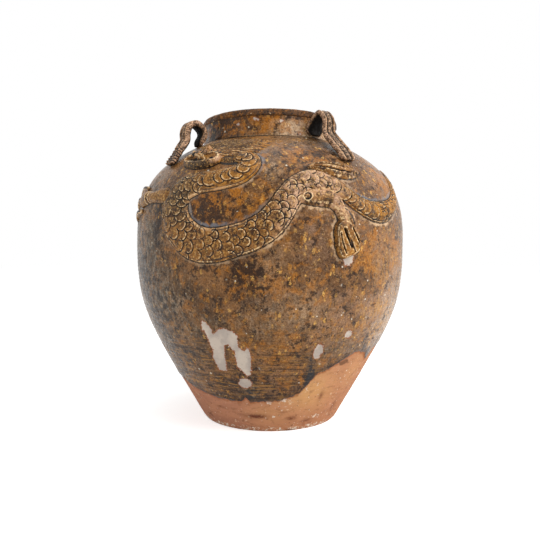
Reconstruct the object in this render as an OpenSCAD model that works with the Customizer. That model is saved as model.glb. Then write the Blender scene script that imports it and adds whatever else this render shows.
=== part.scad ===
// Glazed stoneware storage jar (martaban) with four strap ears and two applied dragons.
// The jar stands on z = 0 with its axis on Z. The four ears lie on the X and Y axes.

/* [Vessel] */
// Height from the foot to the top of the lip
jar_h = 360; // [345:5:380]
// Greatest outer diameter, at the belly
belly_d = 325; // [310:1:345]
// Height of the belly's widest line
belly_z = 219; // [205:1:228]
// Diameter of the flat foot
foot_d = 166; // [150:1:180]
// Lean of the wall at the foot, in degrees from upright
foot_lean = 30; // [24:1:36]
// How far the foot's lean carries up the wall
foot_pull = 148; // [120:1:160]
// How far the belly stays upright below its widest line
belly_pull_low = 83; // [60:1:95]
// How far the belly stays upright above its widest line
belly_pull_high = 69; // [55:1:75]
// Lean of the shoulder where it meets the neck, in degrees from upright
shoulder_lean = 65; // [55:1:70]
// How far the shoulder's lean carries down from the neck
shoulder_pull = 47; // [35:1:55]
// Thickness of the thrown wall
wall = 9; // [8:0.5:11]
// Thickness of the base slab
slab_t = 11; // [9:0.5:14]
// Depth of the rebate in the slab that seats the wall
slab_rebate = 3; // [2:0.5:4]
// Rise of the slanted seam between the lower and upper body
seam_rise = 8; // [4:1:12]

/* [Neck] */
// Height from the neck crease to the top of the lip
neck_h = 30; // [26:1:34]
// Outer diameter where the neck meets the shoulder
neck_d = 167; // [162:1:172]
// Clear diameter of the mouth
mouth_d = 146; // [138:1:150]
// Outer diameter of the neck under the lip
neck_top_d = 163; // [158:1:166]
// How far the neck's outside draws in at its waist
neck_waist = 1.4; // [0:0.2:3]
// Height of the rolled lip
lip_h = 8; // [6:0.5:10]
// Outer diameter of the rolled lip
lip_d = 165; // [160:1:170]
// Rounding of the lip's edges
lip_round = 3.2; // [2:0.2:4]
// Depth of the step that seats the neck in the shoulder
neck_step = 2.5; // [1.5:0.5:3]
// Width of that step's inner ledge
neck_ledge = 5; // [3:0.5:6]

/* [Ears] */
// Width of an ear's strap
ear_w = 14; // [11:0.5:16]
// Thickness of an ear's strap
ear_t = 6; // [5:0.5:7]
// Height of an ear's top above the neck crease
ear_rise = 27.5; // [25:0.5:34]
// Distance of an ear's outer leg from the neck
ear_reach = 23; // [20:0.5:28]
// Height of the left ear's top above the neck crease: it was pulled lower, clear of the neck
left_ear_rise = 19; // [16:0.5:24]
// Distance of the left ear's outer leg from the neck
left_ear_reach = 34.5; // [30:0.5:38]
// Radial distance between the left ear's two legs, centre to centre
left_ear_span = 20; // [17:0.5:24]
// Thickness of the left ear's strap
left_ear_t = 7.5; // [6:0.5:9]
// Distance down the shoulder to the end of the ear's tongue
ear_drop = 63; // [56:1:68]
// Depth of the two grooves combed along the strap
ear_groove = 1.2; // [0:0.1:1.6]
// Extra width where the strap is smeared on to the neck
ear_root = 7; // [2:0.5:9]
// Extra width where the strap is pressed on to the shoulder
ear_press = 3; // [0:0.5:5]

/* [Dragons] */
// Turn of the front dragon's middle from the front ear
dragon_turn = -37; // [-42:1:-32]
// Height of the dragon's rolled body above the wall
dragon_relief = 4.6; // [3:0.1:6]
// Thickness left at the rolled edges
edge_relief = 1.4; // [0.8:0.1:2]
// Height of each scale's free edge over the next scale
scale_step = 1.1; // [0.4:0.1:1.6]
// Scales across the body
scales_across = 3; // [2:1:3]
// Distance between rows of scales, as a share of the body's width
row_share = 0.31; // [0.24:0.01:0.34]
// Height of the head above the wall
head_relief = 9; // [6:0.5:11]
// Height of the combed mane above the wall
mane_relief = 2.8; // [2:0.1:4]
// Height of the legs above the wall
leg_relief = 6.5; // [4:0.5:8]
// Diameter of the eye pellet
eye_d = 8; // [6:0.5:9]
// Outer diameter of the ring rolled round the eye
eye_ring_d = 14; // [12:0.5:16]
// Diameter of the pierced knob on the brow
horn_d = 7; // [5:0.5:8]
// Height of that knob
horn_h = 7; // [5:0.5:10]
// Diameter of the nostrils
nostril_d = 3.4; // [2:0.2:4]

/* [Hidden] */
$fn = 96;

// Thickness of the slip joint between two pieces that are luted together
lute = 0.25;
// How far the body's underside spreads past its rolled edges
skirt = 0.6;
belly_r = belly_d / 2;
foot_r = foot_d / 2;
neck_r = neck_d / 2;
mouth_r = mouth_d / 2;
lip_r = lip_d / 2;
neck_top_r = neck_top_d / 2;
neck_z = jar_h - neck_h;
lip_z = jar_h - lip_h;
wall_steps = 28;

// Wall profile: two curves that meet upright at the belly, each point as [radius, height]
function bezier(p, t) =
    pow(1 - t, 3) * p[0] + 3 * pow(1 - t, 2) * t * p[1] + 3 * (1 - t) * t * t * p[2] + t * t * t * p[3];
function bezier_run(p, t) =
    3 * pow(1 - t, 2) * (p[1] - p[0]) + 6 * (1 - t) * t * (p[2] - p[1]) + 3 * t * t * (p[3] - p[2]);
lower_curve = [
    [foot_r, 0],
    [foot_r + foot_pull * sin(foot_lean), foot_pull * cos(foot_lean)],
    [belly_r, belly_z - belly_pull_low],
    [belly_r, belly_z]
];
upper_curve = [
    [belly_r, belly_z],
    [belly_r, belly_z + belly_pull_high],
    [neck_r + shoulder_pull * sin(shoulder_lean), neck_z - shoulder_pull * cos(shoulder_lean)],
    [neck_r, neck_z]
];
function unit(v) = v / norm(v);
// Outward normal of a curve that runs upward
function outward(run) = unit([run.y, -run.x]);
function outer_points(curve) = [for (i = [0 : wall_steps]) bezier(curve, i / wall_steps)];
function inner_points(curve) = [
    for (i = [0 : wall_steps])
        bezier(curve, i / wall_steps) - wall * outward(bezier_run(curve, i / wall_steps))
];
lower_outer = outer_points(lower_curve);
lower_inner = inner_points(lower_curve);
upper_outer = outer_points(upper_curve);
upper_inner = inner_points(upper_curve);

function turned(list) = [for (i = [len(list) - 1 : -1 : 0]) list[i]];
function above(list, z) = [for (p = list) if (p.y > z) p];
function below(list, z) = [for (p = list) if (p.y < z) p];
// Radius of a profile at a height
function radius_at(list, z) = lookup(z, [for (p = list) [p.y, p.x]]);

// The outer wall from the neck crease down, by its distance along the wall
crease_down = concat(turned(upper_outer), [for (i = [wall_steps - 1 : -1 : 0]) lower_outer[i]]);
crease_normals = concat(
    [for (i = [wall_steps : -1 : 0]) outward(bezier_run(upper_curve, i / wall_steps))],
    [for (i = [wall_steps - 1 : -1 : 0]) outward(bezier_run(lower_curve, i / wall_steps))]
);
down_run = [
    for (i = 0, a = 0; i < len(crease_down);
        a = a + norm(crease_down[min(i + 1, len(crease_down) - 1)] - crease_down[i]), i = i + 1) a
];
radius_down = [for (i = [0 : len(down_run) - 1]) [down_run[i], crease_down[i].x]];
height_down = [for (i = [0 : len(down_run) - 1]) [down_run[i], crease_down[i].y]];
lean_down = [
    for (i = [0 : len(down_run) - 1]) [down_run[i], atan2(crease_normals[i].y, crease_normals[i].x)]
];
// A point in the wall's own plane, as [radius, height], down mm below the crease and lift mm off it
function beside_wall(down, lift) =
    let (lean = lookup(down, lean_down))
    [lookup(down, radius_down) + lift * cos(lean), lookup(down, height_down) + lift * sin(lean)];
// The same point at an azimuth, which turns from -Y towards +X
function on_wall(az, down, lift) =
    let (p = beside_wall(down, lift)) [p.x * sin(az), -p.x * cos(az), p.y];
// Millimetres round the jar for one degree of azimuth
function mm_per_degree(down) = lookup(down, radius_down) * PI / 180;

// Vessel pieces

module base_slab() {
    rebate_z = slab_t - slab_rebate;
    seat_r = radius_at(lower_inner, slab_t);
    color("peru") rotate_extrude($fn = 180) polygon([
        [0, 0], [foot_r, 0], [radius_at(lower_outer, rebate_z), rebate_z],
        [seat_r, rebate_z], [seat_r, slab_t], [0, slab_t]
    ]);
}

module lower_body() {
    foot_z = slab_t - slab_rebate + lute;
    seat_r = radius_at(lower_inner, slab_t) + lute;
    seam_z = belly_z + seam_rise;
    color("sienna") rotate_extrude($fn = 180) polygon(concat(
        [[seat_r, foot_z], [radius_at(lower_outer, foot_z), foot_z]],
        above(lower_outer, foot_z + 1),
        [[radius_at(upper_inner, seam_z), seam_z]],
        turned(below(upper_inner, seam_z - 1)),
        turned(below(above(lower_inner, slab_t + 1), belly_z - 1)),
        [[seat_r, slab_t]]
    ));
}

module upper_body() {
    seam_z = belly_z + seam_rise;
    inner_top = upper_inner[wall_steps];
    throat_z = inner_top.y + (inner_top.x - mouth_r) / tan(shoulder_lean);
    ledge_r = neck_r - neck_ledge;
    color("saddlebrown") rotate_extrude($fn = 180) polygon(concat(
        [[radius_at(upper_inner, seam_z), seam_z + lute], [belly_r, belly_z + lute]],
        above(upper_outer, belly_z + 1),
        [[ledge_r, neck_z], [ledge_r, neck_z - neck_step], [mouth_r, neck_z - neck_step], [mouth_r, throat_z]],
        turned(above(upper_inner, seam_z + 1))
    ));
}

// Outer radius of the neck at a share of its height
function neck_side(f) = neck_r + (neck_top_r - neck_r) * f - neck_waist * sin(180 * f);

module neck_collar() {
    seat_z = neck_z + lute;
    ledge_r = neck_r - neck_ledge - lute;
    steps = 10;
    color("chocolate") rotate_extrude($fn = 180) polygon(concat(
        [[mouth_r, seat_z - neck_step], [ledge_r, seat_z - neck_step], [ledge_r, seat_z]],
        [for (i = [0 : steps]) [neck_side(i / steps), seat_z + (lip_z - seat_z) * i / steps]],
        [[mouth_r, lip_z]]
    ));
}

module lip_coil() {
    seat_z = lip_z + lute;
    top_z = jar_h - lip_round;
    undercut = 1.2;
    color("sienna") rotate_extrude($fn = 180) polygon(concat(
        [[mouth_r, seat_z], [neck_top_r, seat_z], [lip_r, seat_z + undercut]],
        [for (a = [0 : 15 : 90]) [lip_r - lip_round, top_z] + lip_round * [cos(a), sin(a)]],
        [for (a = [90 : 15 : 180]) [mouth_r + lip_round, top_z] + lip_round * [cos(a), sin(a)]]
    ));
}

// Smooth curve through hand-placed points of any length
function curve_point(a, b, c, d, t) =
    (2 * b + (c - a) * t + (2 * a - 5 * b + 4 * c - d) * t * t + (3 * b - a - 3 * c + d) * t * t * t) / 2;
function curve(p, steps) = concat(
    [for (i = [0 : len(p) - 2], k = [0 : steps - 1])
        curve_point(p[max(i - 1, 0)], p[i], p[i + 1], p[min(i + 2, len(p) - 1)], k / steps)],
    [p[len(p) - 1]]
);

// Faces that close a ring of top points and the fewer points beneath them
function end_faces(top, under) =
    let (across = len(top) - 1, beneath = len(under) - 1)
    concat(
        [for (k = [0 : across - 1]) [top[k], top[k + 1], under[floor(k * beneath / across)]]],
        [for (m = [0 : beneath - 1]) [top[(m + 1) * across / beneath], under[m + 1], under[m]]]
    );
function flipped(faces) = [for (f = faces) [f[2], f[1], f[0]]];

// Faces of a tube lofted through rings, each with its top points first and then those beneath, turned back
function loft_faces(rings, across, beneath) =
    let (
        size = across + beneath + 2,
        last = (rings - 1) * size,
        top = [for (k = [0 : across]) k],
        under = [for (m = [0 : beneath]) size - 1 - m]
    )
    concat(
        end_faces(top, under),
        flipped(end_faces([for (k = top) k + last], [for (m = under) m + last])),
        [for (j = [0 : rings - 2], i = [0 : size - 1], half = [0, 1])
            let (a = j * size + i, b = j * size + (i + 1) % size)
            half == 0 ? [a, a + size, b + size] : [a, b + size, b]]
    );

// Strap ears

// Cross-section of a strap with two combed grooves, as [offset outward, offset sideways]
function strap_section(width, thick) = concat(
    [for (i = [0 : 6])
        let (x = i / 3 - 1)
        [thick / 2 * sqrt(1 - 0.6 * x * x) - ear_groove * (1 - cos(540 * x)) / 2, width / 2 * x]],
    [[0.3 - thick / 2, width / 2 * 0.88], [-thick / 2, 0], [0.3 - thick / 2, -width / 2 * 0.88]]
);

// Centre line of a strap from the neck, over the loop and down the shoulder: [radius, height, width, thickness]
function ear_point(p, grow, thick) = [p.x, p.y, ear_w + grow, thick];
function on_neck(up, thick) = [neck_side(up / (lip_z - neck_z)) + lute + thick / 2, neck_z + up];
lip_clear = 3.5;
crest_x = max(lip_r, neck_top_r) + lip_clear + ear_t / 2;
loop_x = max(neck_r, neck_top_r, lip_r) + ear_reach;
function tongue(thick) = [
    ear_point(beside_wall(ear_drop - 15, thick / 2 + 2.4), ear_press / 2, thick),
    ear_point(beside_wall(ear_drop - 5, thick / 2 + lute + 0.4), ear_press, thick),
    ear_point(beside_wall(ear_drop - 1.2, thick / 2 + lute), ear_press - 1, thick - 0.6),
    ear_point(beside_wall(ear_drop, thick / 2 + lute), -ear_w / 4, thick - 1.6)
];
ear_path = concat(
    [
        ear_point(on_neck(2.6, ear_t - 2) + [0.3, 0], 0, ear_t - 2),
        ear_point(on_neck(8, ear_t - 1) + [0.3, 0], ear_root, ear_t - 1),
        ear_point(on_neck(ear_rise / 2, ear_t) + [1, 0], ear_root / 2, ear_t),
        ear_point([crest_x, neck_z + ear_rise - ear_t - 1.6], 0, ear_t),
        ear_point([(crest_x + loop_x) / 2 - 1.4, neck_z + ear_rise - ear_t / 2], 0, ear_t),
        ear_point([loop_x - 3.4, neck_z + ear_rise - ear_t - 2], 0, ear_t),
        ear_point([loop_x - 0.6, neck_z + ear_rise / 2], 0, ear_t),
        ear_point([loop_x + 0.6, neck_z + 2], 0, ear_t),
        ear_point(beside_wall(ear_drop - 27, ear_t / 2 + 4.6), 0, ear_t)
    ],
    tongue(ear_t)
);

// The left ear's loop stands on the shoulder: up its inner leg, over, and down its outer leg
function down_to(radius) = lookup(radius, [for (i = [0 : wall_steps]) [crease_down[i].x, down_run[i]]]);
left_x = max(neck_r, neck_top_r, lip_r) + left_ear_reach;
left_inner_x = left_x - left_ear_span;
left_top_z = neck_z + left_ear_rise - left_ear_t / 2;
left_ear_path = concat(
    [
        ear_point(beside_wall(down_to(left_inner_x + 4), 1.2), -3, left_ear_t - 2),
        ear_point(beside_wall(down_to(left_inner_x + 1.6), 4.5), 0, left_ear_t - 1),
        ear_point([left_inner_x - 0.4, left_top_z - 11], 0, left_ear_t - 0.5),
        ear_point([left_inner_x + 1.6, left_top_z - 4.4], 0, left_ear_t),
        ear_point([(left_x + left_inner_x) / 2 - 1, left_top_z], 0, left_ear_t),
        ear_point([left_x - 2.8, left_top_z - 4], 0, left_ear_t),
        ear_point([left_x, left_top_z - 12], 0, left_ear_t),
        ear_point([left_x + 1, left_top_z - 21], 0, left_ear_t - 0.5),
        ear_point(beside_wall(down_to(left_x + 6), left_ear_t / 2 + 2.6), 1, left_ear_t - 1)
    ],
    tongue(ear_t)
);

module ear(turn, path) {
    line = curve(path, 2);
    last = len(line) - 1;
    rings = [
        for (i = [0 : last])
            let (
                run = unit([for (k = [0, 1]) line[min(i + 1, last)][k] - line[max(i - 1, 0)][k]]),
                out = [-run.y, run.x],
                section = strap_section(line[i][2], line[i][3])
            )
            [for (s = section) [line[i].x + s.x * out.x, s.y, line[i].y + s.x * out.y]]
    ];
    points = [for (ring = rings, p = ring) p];
    color("darkgoldenrod") rotate([0, 0, turn - 90])
        polyhedron(points, loft_faces(len(rings), 6, 2));
}

// Applied relief

// Distance travelled along a line of [azimuth, down, ...] points, in millimetres on the wall
function travel(line) = [
    for (i = 0, a = 0; i < len(line);
        a = a + (i + 1 < len(line) ? step_length(line[i], line[i + 1]) : 0), i = i + 1) a
];
function step_mm(p, q) = [(q[0] - p[0]) * mm_per_degree((p[1] + q[1]) / 2), q[1] - p[1]];
function step_length(p, q) = norm(step_mm(p, q));

// The dragons were laid out on a wall this long, and stretch with the wall they sit on
laid_out_on = 384;
wall_share = down_run[len(down_run) - 1] / laid_out_on;
function laid_on_wall(path) = [for (p = path) [p[0], p[1] * wall_share, p[2] * wall_share, p[3]]];

// A point beside a line on the wall: along mm from its start, side mm to the right of its run
function strip_point(runs, line, along, side, lift) =
    let (
        ahead = strip_at(runs, line, along + 0.5),
        behind = strip_at(runs, line, along - 0.5),
        here = strip_at(runs, line, along),
        run = unit(step_mm(behind, ahead))
    )
    on_wall(here[0] - side * run.y / mm_per_degree(here[1]), here[1] + side * run.x, lift);
// Azimuth, distance down, width and height of a line at a distance along it
function strip_at(runs, line, along) = [
    for (k = [0 : 3]) lookup(along, [for (i = [0 : len(runs) - 1]) [runs[i], line[i][k]]])
];

// Height of a rounded roll across its width, from its edge to its crown
function crown(x, height, edge) = lute + edge + (height - edge) * (1 - pow(abs(x), 2.6));

// A roll of clay pressed along a line of [azimuth, down, width, height], with ridges along it
module roll(path, turn, ridges = 0, edge = edge_relief, across = 6, under = 2) {
    line = curve(laid_on_wall(path), 2);
    runs = travel(line);
    groove = 0.3;
    rings = [
        for (i = [0 : len(line) - 1])
            let (width = line[i][2], height = max(line[i][3], edge + 0.3))
            concat(
                [for (k = [0 : across])
                    let (
                        x = 2 * k / across - 1,
                        cut = ridges > 0 ? groove * height * pow(cos(90 * ridges * (x + 1)), 2) : 0
                    )
                    strip_point(runs, line, runs[i], x * width / 2, crown(x, height, edge) - cut)],
                [for (k = [under : -1 : 0])
                    strip_point(runs, line, runs[i], (2 * k / under - 1) * width / 2, lute)]
            )
    ];
    points = [for (ring = rings, p = ring) p];
    rotate([0, 0, dragon_turn + turn]) polyhedron(points, loft_faces(len(rings), across, under));
}

// Spine of the dragon from its neck to its tail tip: [azimuth, down, width, height]
spine = [
    [-15, 59, 14, 0.7], [-9.5, 64, 20, 0.9], [-8.2, 74, 22, 1], [-12, 85.5, 23, 1], [-20, 91, 23, 1],
    [-27.5, 93, 25, 1], [-34.5, 99.5, 31, 1], [-37, 111, 35, 1], [-37.3, 124, 36, 1], [-35, 138, 36, 1],
    [-30.5, 150, 36, 1], [-25, 156.5, 35, 1], [-19, 157, 33, 1], [-12.5, 153, 31, 1], [-6.5, 147.5, 30, 1],
    [-0.5, 137.5, 29, 1], [3.5, 124, 27, 1], [6.5, 111, 25, 1], [10, 99.5, 23.5, 1], [15, 92.5, 24, 1],
    [20, 93, 22, 1], [24.5, 98, 20, 1], [29, 106, 17, 0.9], [34, 115, 17, 0.9], [40, 121, 20, 0.9],
    [46.5, 122, 22, 0.9], [53, 117.5, 19, 0.8], [58, 110, 15, 0.7]
];
tail_line = [
    [58.4, 109, 14, 0.7], [61.5, 101.5, 12.5, 0.6], [64, 92, 11, 0.5], [66.5, 82, 9, 0.45],
    [69.5, 72.5, 7, 0.4], [73, 64.5, 4, 0.35], [75, 61, 1.5, 0.32]
];

// Offset of a row's scalloped edge: arcs on a whole number of scales, shifted by half on odd rows
function scallop(x, row) =
    let (
        s = (x + 1) * scales_across / 2 + (row % 2) / 2,
        f = 2 * (s - floor(s)) - 1
    )
    sqrt(1 - f * f);

// The rolled body, its skin cut into rows of overlapping scales whose free edges face the tail
module dragon_body(turn) {
    line = curve(laid_on_wall(spine), 3);
    runs = travel(line);
    length_mm = runs[len(runs) - 1];
    across = 4 * scales_across;
    under = 4;
    rows = [
        for (q = 2; q < length_mm - 8; q = q + row_share * strip_at(runs, line, q)[2]) q
    ];
    ends = concat(rows, [length_mm]);
    count = len(rows);
    // Where a row starts at x across the body: straight at both ends of the body
    function row_edge(row, x) =
        ends[min(row, count)] + (row == 0 || row == count ? 0
            : 0.92 * strip_at(runs, line, ends[row])[2] / scales_across / 2 * scallop(x, row));
    function skin(row, k, raise, at) =
        let (
            x = 2 * k / across - 1,
            along = row_edge(at, x),
            here = strip_at(runs, line, along)
        )
        strip_point(runs, line, along, x * here[2] / 2,
            crown(x, dragon_relief * here[3], edge_relief) + raise * here[3]);
    points = concat(
        [for (row = [0 : count - 1], high = [0, 1], k = [0 : across])
            skin(row, k, high * scale_step - scale_step / 2, row + high)],
        [for (row = [0 : count], k = [0 : under])
            let (x = 2 * k / under - 1, here = strip_at(runs, line, ends[row]))
            strip_point(runs, line, ends[row], x * (here[2] / 2 + skirt), lute)]
    );
    top = across + 1;
    back = count * 2 * top;
    function low(row, k) = row * 2 * top + k;
    function high(row, k) = low(row, k) + top;
    function floor_point(row, k) = back + row * (under + 1) + k;
    faces = concat(
        [for (row = [0 : count - 1], k = [0 : across - 1], half = [0, 1])
            half == 0 ? [low(row, k), high(row, k), high(row, k + 1)]
                : [low(row, k), high(row, k + 1), low(row, k + 1)]],
        [for (row = [0 : count - 2], k = [0 : across - 1], half = [0, 1])
            half == 0 ? [high(row, k), low(row + 1, k), low(row + 1, k + 1)]
                : [high(row, k), low(row + 1, k + 1), high(row, k + 1)]],
        [for (row = [0 : count - 1], half = [0, 1])
            half == 0 ? [high(row, 0), low(row, 0), floor_point(row, 0)]
                : [high(row, 0), floor_point(row, 0), floor_point(row + 1, 0)]],
        [for (row = [0 : count - 1], half = [0, 1])
            half == 0 ? [low(row, across), high(row, across), floor_point(row + 1, under)]
                : [low(row, across), floor_point(row + 1, under), floor_point(row, under)]],
        [for (row = [0 : count - 2]) [low(row + 1, 0), high(row, 0), floor_point(row + 1, 0)]],
        [for (row = [0 : count - 2])
            [high(row, across), low(row + 1, across), floor_point(row + 1, under)]],
        [for (row = [0 : count - 1], k = [0 : under - 1], half = [0, 1])
            half == 0 ? [floor_point(row + 1, k), floor_point(row, k), floor_point(row, k + 1)]
                : [floor_point(row + 1, k), floor_point(row, k + 1), floor_point(row + 1, k + 1)]],
        end_faces([for (k = [0 : across]) low(0, k)], [for (k = [0 : under]) floor_point(0, k)]),
        flipped(end_faces(
            [for (k = [0 : across]) high(count - 1, k)], [for (k = [0 : under]) floor_point(count, k)]
        ))
    );
    color("goldenrod") rotate([0, 0, dragon_turn + turn]) polyhedron(points, faces);
}

module dragon_tail(turn) {
    path = [for (p = tail_line) [p[0], p[1], p[2], p[3] * dragon_relief]];
    color("goldenrod") roll(path, turn);
}

// Puts its children on the wall, their Z along the wall's outward normal
module seat_on_wall(az, down, lift, turn) {
    at = down * wall_share;
    rotate([0, 0, dragon_turn + turn]) translate(on_wall(az, at, lift))
        rotate([0, 90 - lookup(at, lean_down), az - 90]) children();
}

// Places on the dragon's head: [azimuth, down]
eye_at = [-25.8, 58.5];
horn_at = [-29.5, 49];
nostrils_at = [[-38, 59.5], [-34.2, 59]];
eye_floor = head_relief - 2.6;
horn_floor = head_relief - 4;

module dragon_head(turn) {
    skull = [
        [-43, 58.5, 7, 0.5], [-41.5, 58.5, 11, 0.7], [-38, 58, 14, 0.85], [-33.5, 56.5, 17, 0.95],
        [-29, 55, 20, 1], [-25, 56, 19.5, 1], [-21.5, 58, 15, 0.9], [-20, 59, 9, 0.7]
    ];
    color("olive") difference() {
        roll([for (p = skull) [p[0], p[1], p[2], p[3] * head_relief]], turn);
        seat_on_wall(eye_at.x, eye_at.y, eye_floor, turn)
            cylinder(d = eye_ring_d + 2 * lute, h = head_relief, $fn = 36);
        seat_on_wall(horn_at.x, horn_at.y, horn_floor, turn)
            cylinder(d = horn_d + 2 * lute, h = head_relief, $fn = 36);
        for (at = nostrils_at)
            seat_on_wall(at.x, at.y, head_relief / 2, turn) cylinder(d = nostril_d, h = head_relief, $fn = 24);
    }
}

// Rolled ring round the eye, and the pellet that sits in it
module dragon_eye(turn) {
    ring_r = eye_ring_d / 2;
    pellet_r = eye_d / 2;
    color("dimgray") seat_on_wall(eye_at.x, eye_at.y, eye_floor + lute, turn) {
        rotate_extrude($fn = 36) polygon(concat(
            [[pellet_r + lute, 0], [ring_r, 0]],
            [for (a = [0 : 30 : 180])
                [(ring_r + pellet_r + lute) / 2, 2.4] + (ring_r - pellet_r - lute) / 2 * [cos(a), sin(a)]]
        ));
        rotate_extrude($fn = 36) polygon(concat(
            [[0, 0], [pellet_r, 0]],
            [for (a = [0 : 15 : 90]) [pellet_r * cos(a), 1 + 2 * sin(a)]]
        ));
    }
}

// Pierced knob of clay on the brow
module dragon_horn(turn) {
    color("olive") seat_on_wall(horn_at.x, horn_at.y, horn_floor + lute, turn) difference() {
        cylinder(d1 = horn_d, d2 = horn_d * 0.7, h = horn_h, $fn = 36);
        translate([0, 0, horn_h - 2.5]) cylinder(d = horn_d * 0.35, h = horn_h, $fn = 24);
    }
}

module dragon_jaw(turn) {
    jaw = [
        [-42.5, 66.4, 3.5, 0.5], [-40.5, 67.8, 6.5, 0.75], [-36, 70.6, 9.5, 0.95], [-31, 71.6, 10, 1],
        [-26, 71.6, 9, 0.95], [-22, 70.6, 7.5, 0.8], [-20, 69.6, 4, 0.6]
    ];
    color("darkolivegreen") roll([for (p = jaw) [p[0], p[1], p[2], p[3] * head_relief]], turn);
}

module dragon_mane(turn) {
    mane = [
        [-40, 29, 6, 0.65], [-36.5, 28, 14, 0.85], [-31, 27.5, 22, 1], [-24.5, 29.5, 28, 1],
        [-17.5, 32.5, 32, 1], [-11, 36.5, 30, 0.93], [-6, 40, 21, 0.8], [-2.5, 42.5, 9, 0.65]
    ];
    color("peru") roll([for (p = mane) [p[0], p[1], p[2], p[3] * mane_relief]], turn,
        ridges = 6, edge = 0.9, across = 12, under = 3);
}

module dragon_foreleg(turn) {
    leg = [
        [-44.4, 104, 17, 0.7], [-47, 104, 16, 0.8], [-51, 104.5, 13, 0.95], [-55.5, 104.5, 13.5, 1],
        [-60, 104.5, 18, 1], [-63.5, 105.5, 19, 0.9], [-65.2, 106.5, 11, 0.7]
    ];
    color("darkgoldenrod") roll([for (p = leg) [p[0], p[1], p[2], p[3] * leg_relief]], turn);
}

// Claws of the front paw, each a hooked roll
module dragon_foreclaws(turn) {
    claws = [
        [[-62.5, 92.3, 5, 0.7], [-66, 91.5, 6.5, 0.85], [-70, 93, 6.5, 0.8], [-73.5, 96.5, 5, 0.6],
            [-75, 99.5, 2, 0.4]],
        [[-67.5, 104, 5, 0.8], [-70, 104.5, 6.5, 0.85], [-73, 107, 6, 0.75], [-75, 111.5, 4.5, 0.6],
            [-75.5, 115, 2, 0.4]],
        [[-62.3, 118.8, 5, 0.7], [-65, 119.5, 6.5, 0.85], [-68, 122, 6, 0.75], [-69.5, 126, 4.5, 0.6],
            [-69.7, 129.5, 2, 0.4]]
    ];
    color("peru") for (claw = claws)
        roll([for (p = claw) [p[0], p[1], p[2], p[3] * leg_relief]], turn, across = 4, under = 1);
}

module dragon_hindleg(turn) {
    leg = [
        [13.9, 116.8, 6, 0.6], [15.2, 115.8, 11, 0.85], [18, 115.2, 15, 1], [21, 115.8, 15, 1],
        [23.6, 119, 13, 0.95], [25.2, 125, 11, 0.85], [26.4, 131.5, 9.5, 0.8], [27.2, 136.5, 10, 0.7]
    ];
    color("darkgoldenrod") roll([for (p = leg) [p[0], p[1], p[2], p[3] * leg_relief]], turn);
}

// Toes of the hanging hind foot, side by side
module dragon_hindclaws(turn) {
    toe_gap = 3.35;
    toe = [
        [25.1, 139, 5, 0.7], [24.9, 144, 8.2, 0.9], [25.4, 157, 8.8, 1], [26.8, 169, 7, 0.85],
        [27.3, 172.5, 3, 0.6]
    ];
    lift_ends = [0, 2, 5.5];
    color("peru") for (i = [0 : 2])
        roll([for (p = toe) [p[0] + i * toe_gap, p[1] - lift_ends[i] * (p[1] - 139) / 33, p[2],
            p[3] * leg_relief]], turn, across = 4, under = 1);
}

module dragon_spur(turn) {
    spur = [[28.8, 118, 2.5, 0.45], [29.6, 122.5, 5.5, 0.65], [30.4, 129, 6, 0.65], [31.2, 136.5, 2.5, 0.45]];
    color("peru")
        roll([for (p = spur) [p[0], p[1], p[2], p[3] * leg_relief]], turn, across = 4, under = 1);
}

// Paw of the leg on the far side, seen above the back
module dragon_far_paw(turn) {
    paw = [
        [15.2, 77, 3, 0.4], [18, 75.4, 8.5, 0.6], [22, 75.6, 13.5, 0.75], [26, 77, 18, 0.8],
        [30, 78.6, 19, 0.75], [33.6, 79.4, 14, 0.65], [35.8, 79.6, 6, 0.45]
    ];
    color("peru") roll([for (p = paw) [p[0], p[1], p[2], p[3] * leg_relief]], turn,
        ridges = 3);
}

base_slab();
lower_body();
upper_body();
neck_collar();
lip_coil();
ear(0, ear_path);  // ear_front
ear(90, ear_path);  // ear_right
ear(180, ear_path);  // ear_back
ear(270, left_ear_path);  // ear_left
dragon_body(0);  // front_dragon_body
dragon_tail(0);  // front_dragon_tail
dragon_head(0);  // front_dragon_head
dragon_jaw(0);  // front_dragon_jaw
dragon_eye(0);  // front_dragon_eye
dragon_horn(0);  // front_dragon_horn
dragon_mane(0);  // front_dragon_mane
dragon_foreleg(0);  // front_dragon_foreleg
dragon_foreclaws(0);  // front_dragon_foreclaws
dragon_hindleg(0);  // front_dragon_hindleg
dragon_hindclaws(0);  // front_dragon_hindclaws
dragon_spur(0);  // front_dragon_spur
dragon_far_paw(0);  // front_dragon_far_paw
dragon_body(180);  // back_dragon_body
dragon_tail(180);  // back_dragon_tail
dragon_head(180);  // back_dragon_head
dragon_jaw(180);  // back_dragon_jaw
dragon_eye(180);  // back_dragon_eye
dragon_horn(180);  // back_dragon_horn
dragon_mane(180);  // back_dragon_mane
dragon_foreleg(180);  // back_dragon_foreleg
dragon_foreclaws(180);  // back_dragon_foreclaws
dragon_hindleg(180);  // back_dragon_hindleg
dragon_hindclaws(180);  // back_dragon_hindclaws
dragon_spur(180);  // back_dragon_spur
dragon_far_paw(180);  // back_dragon_far_paw
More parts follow.
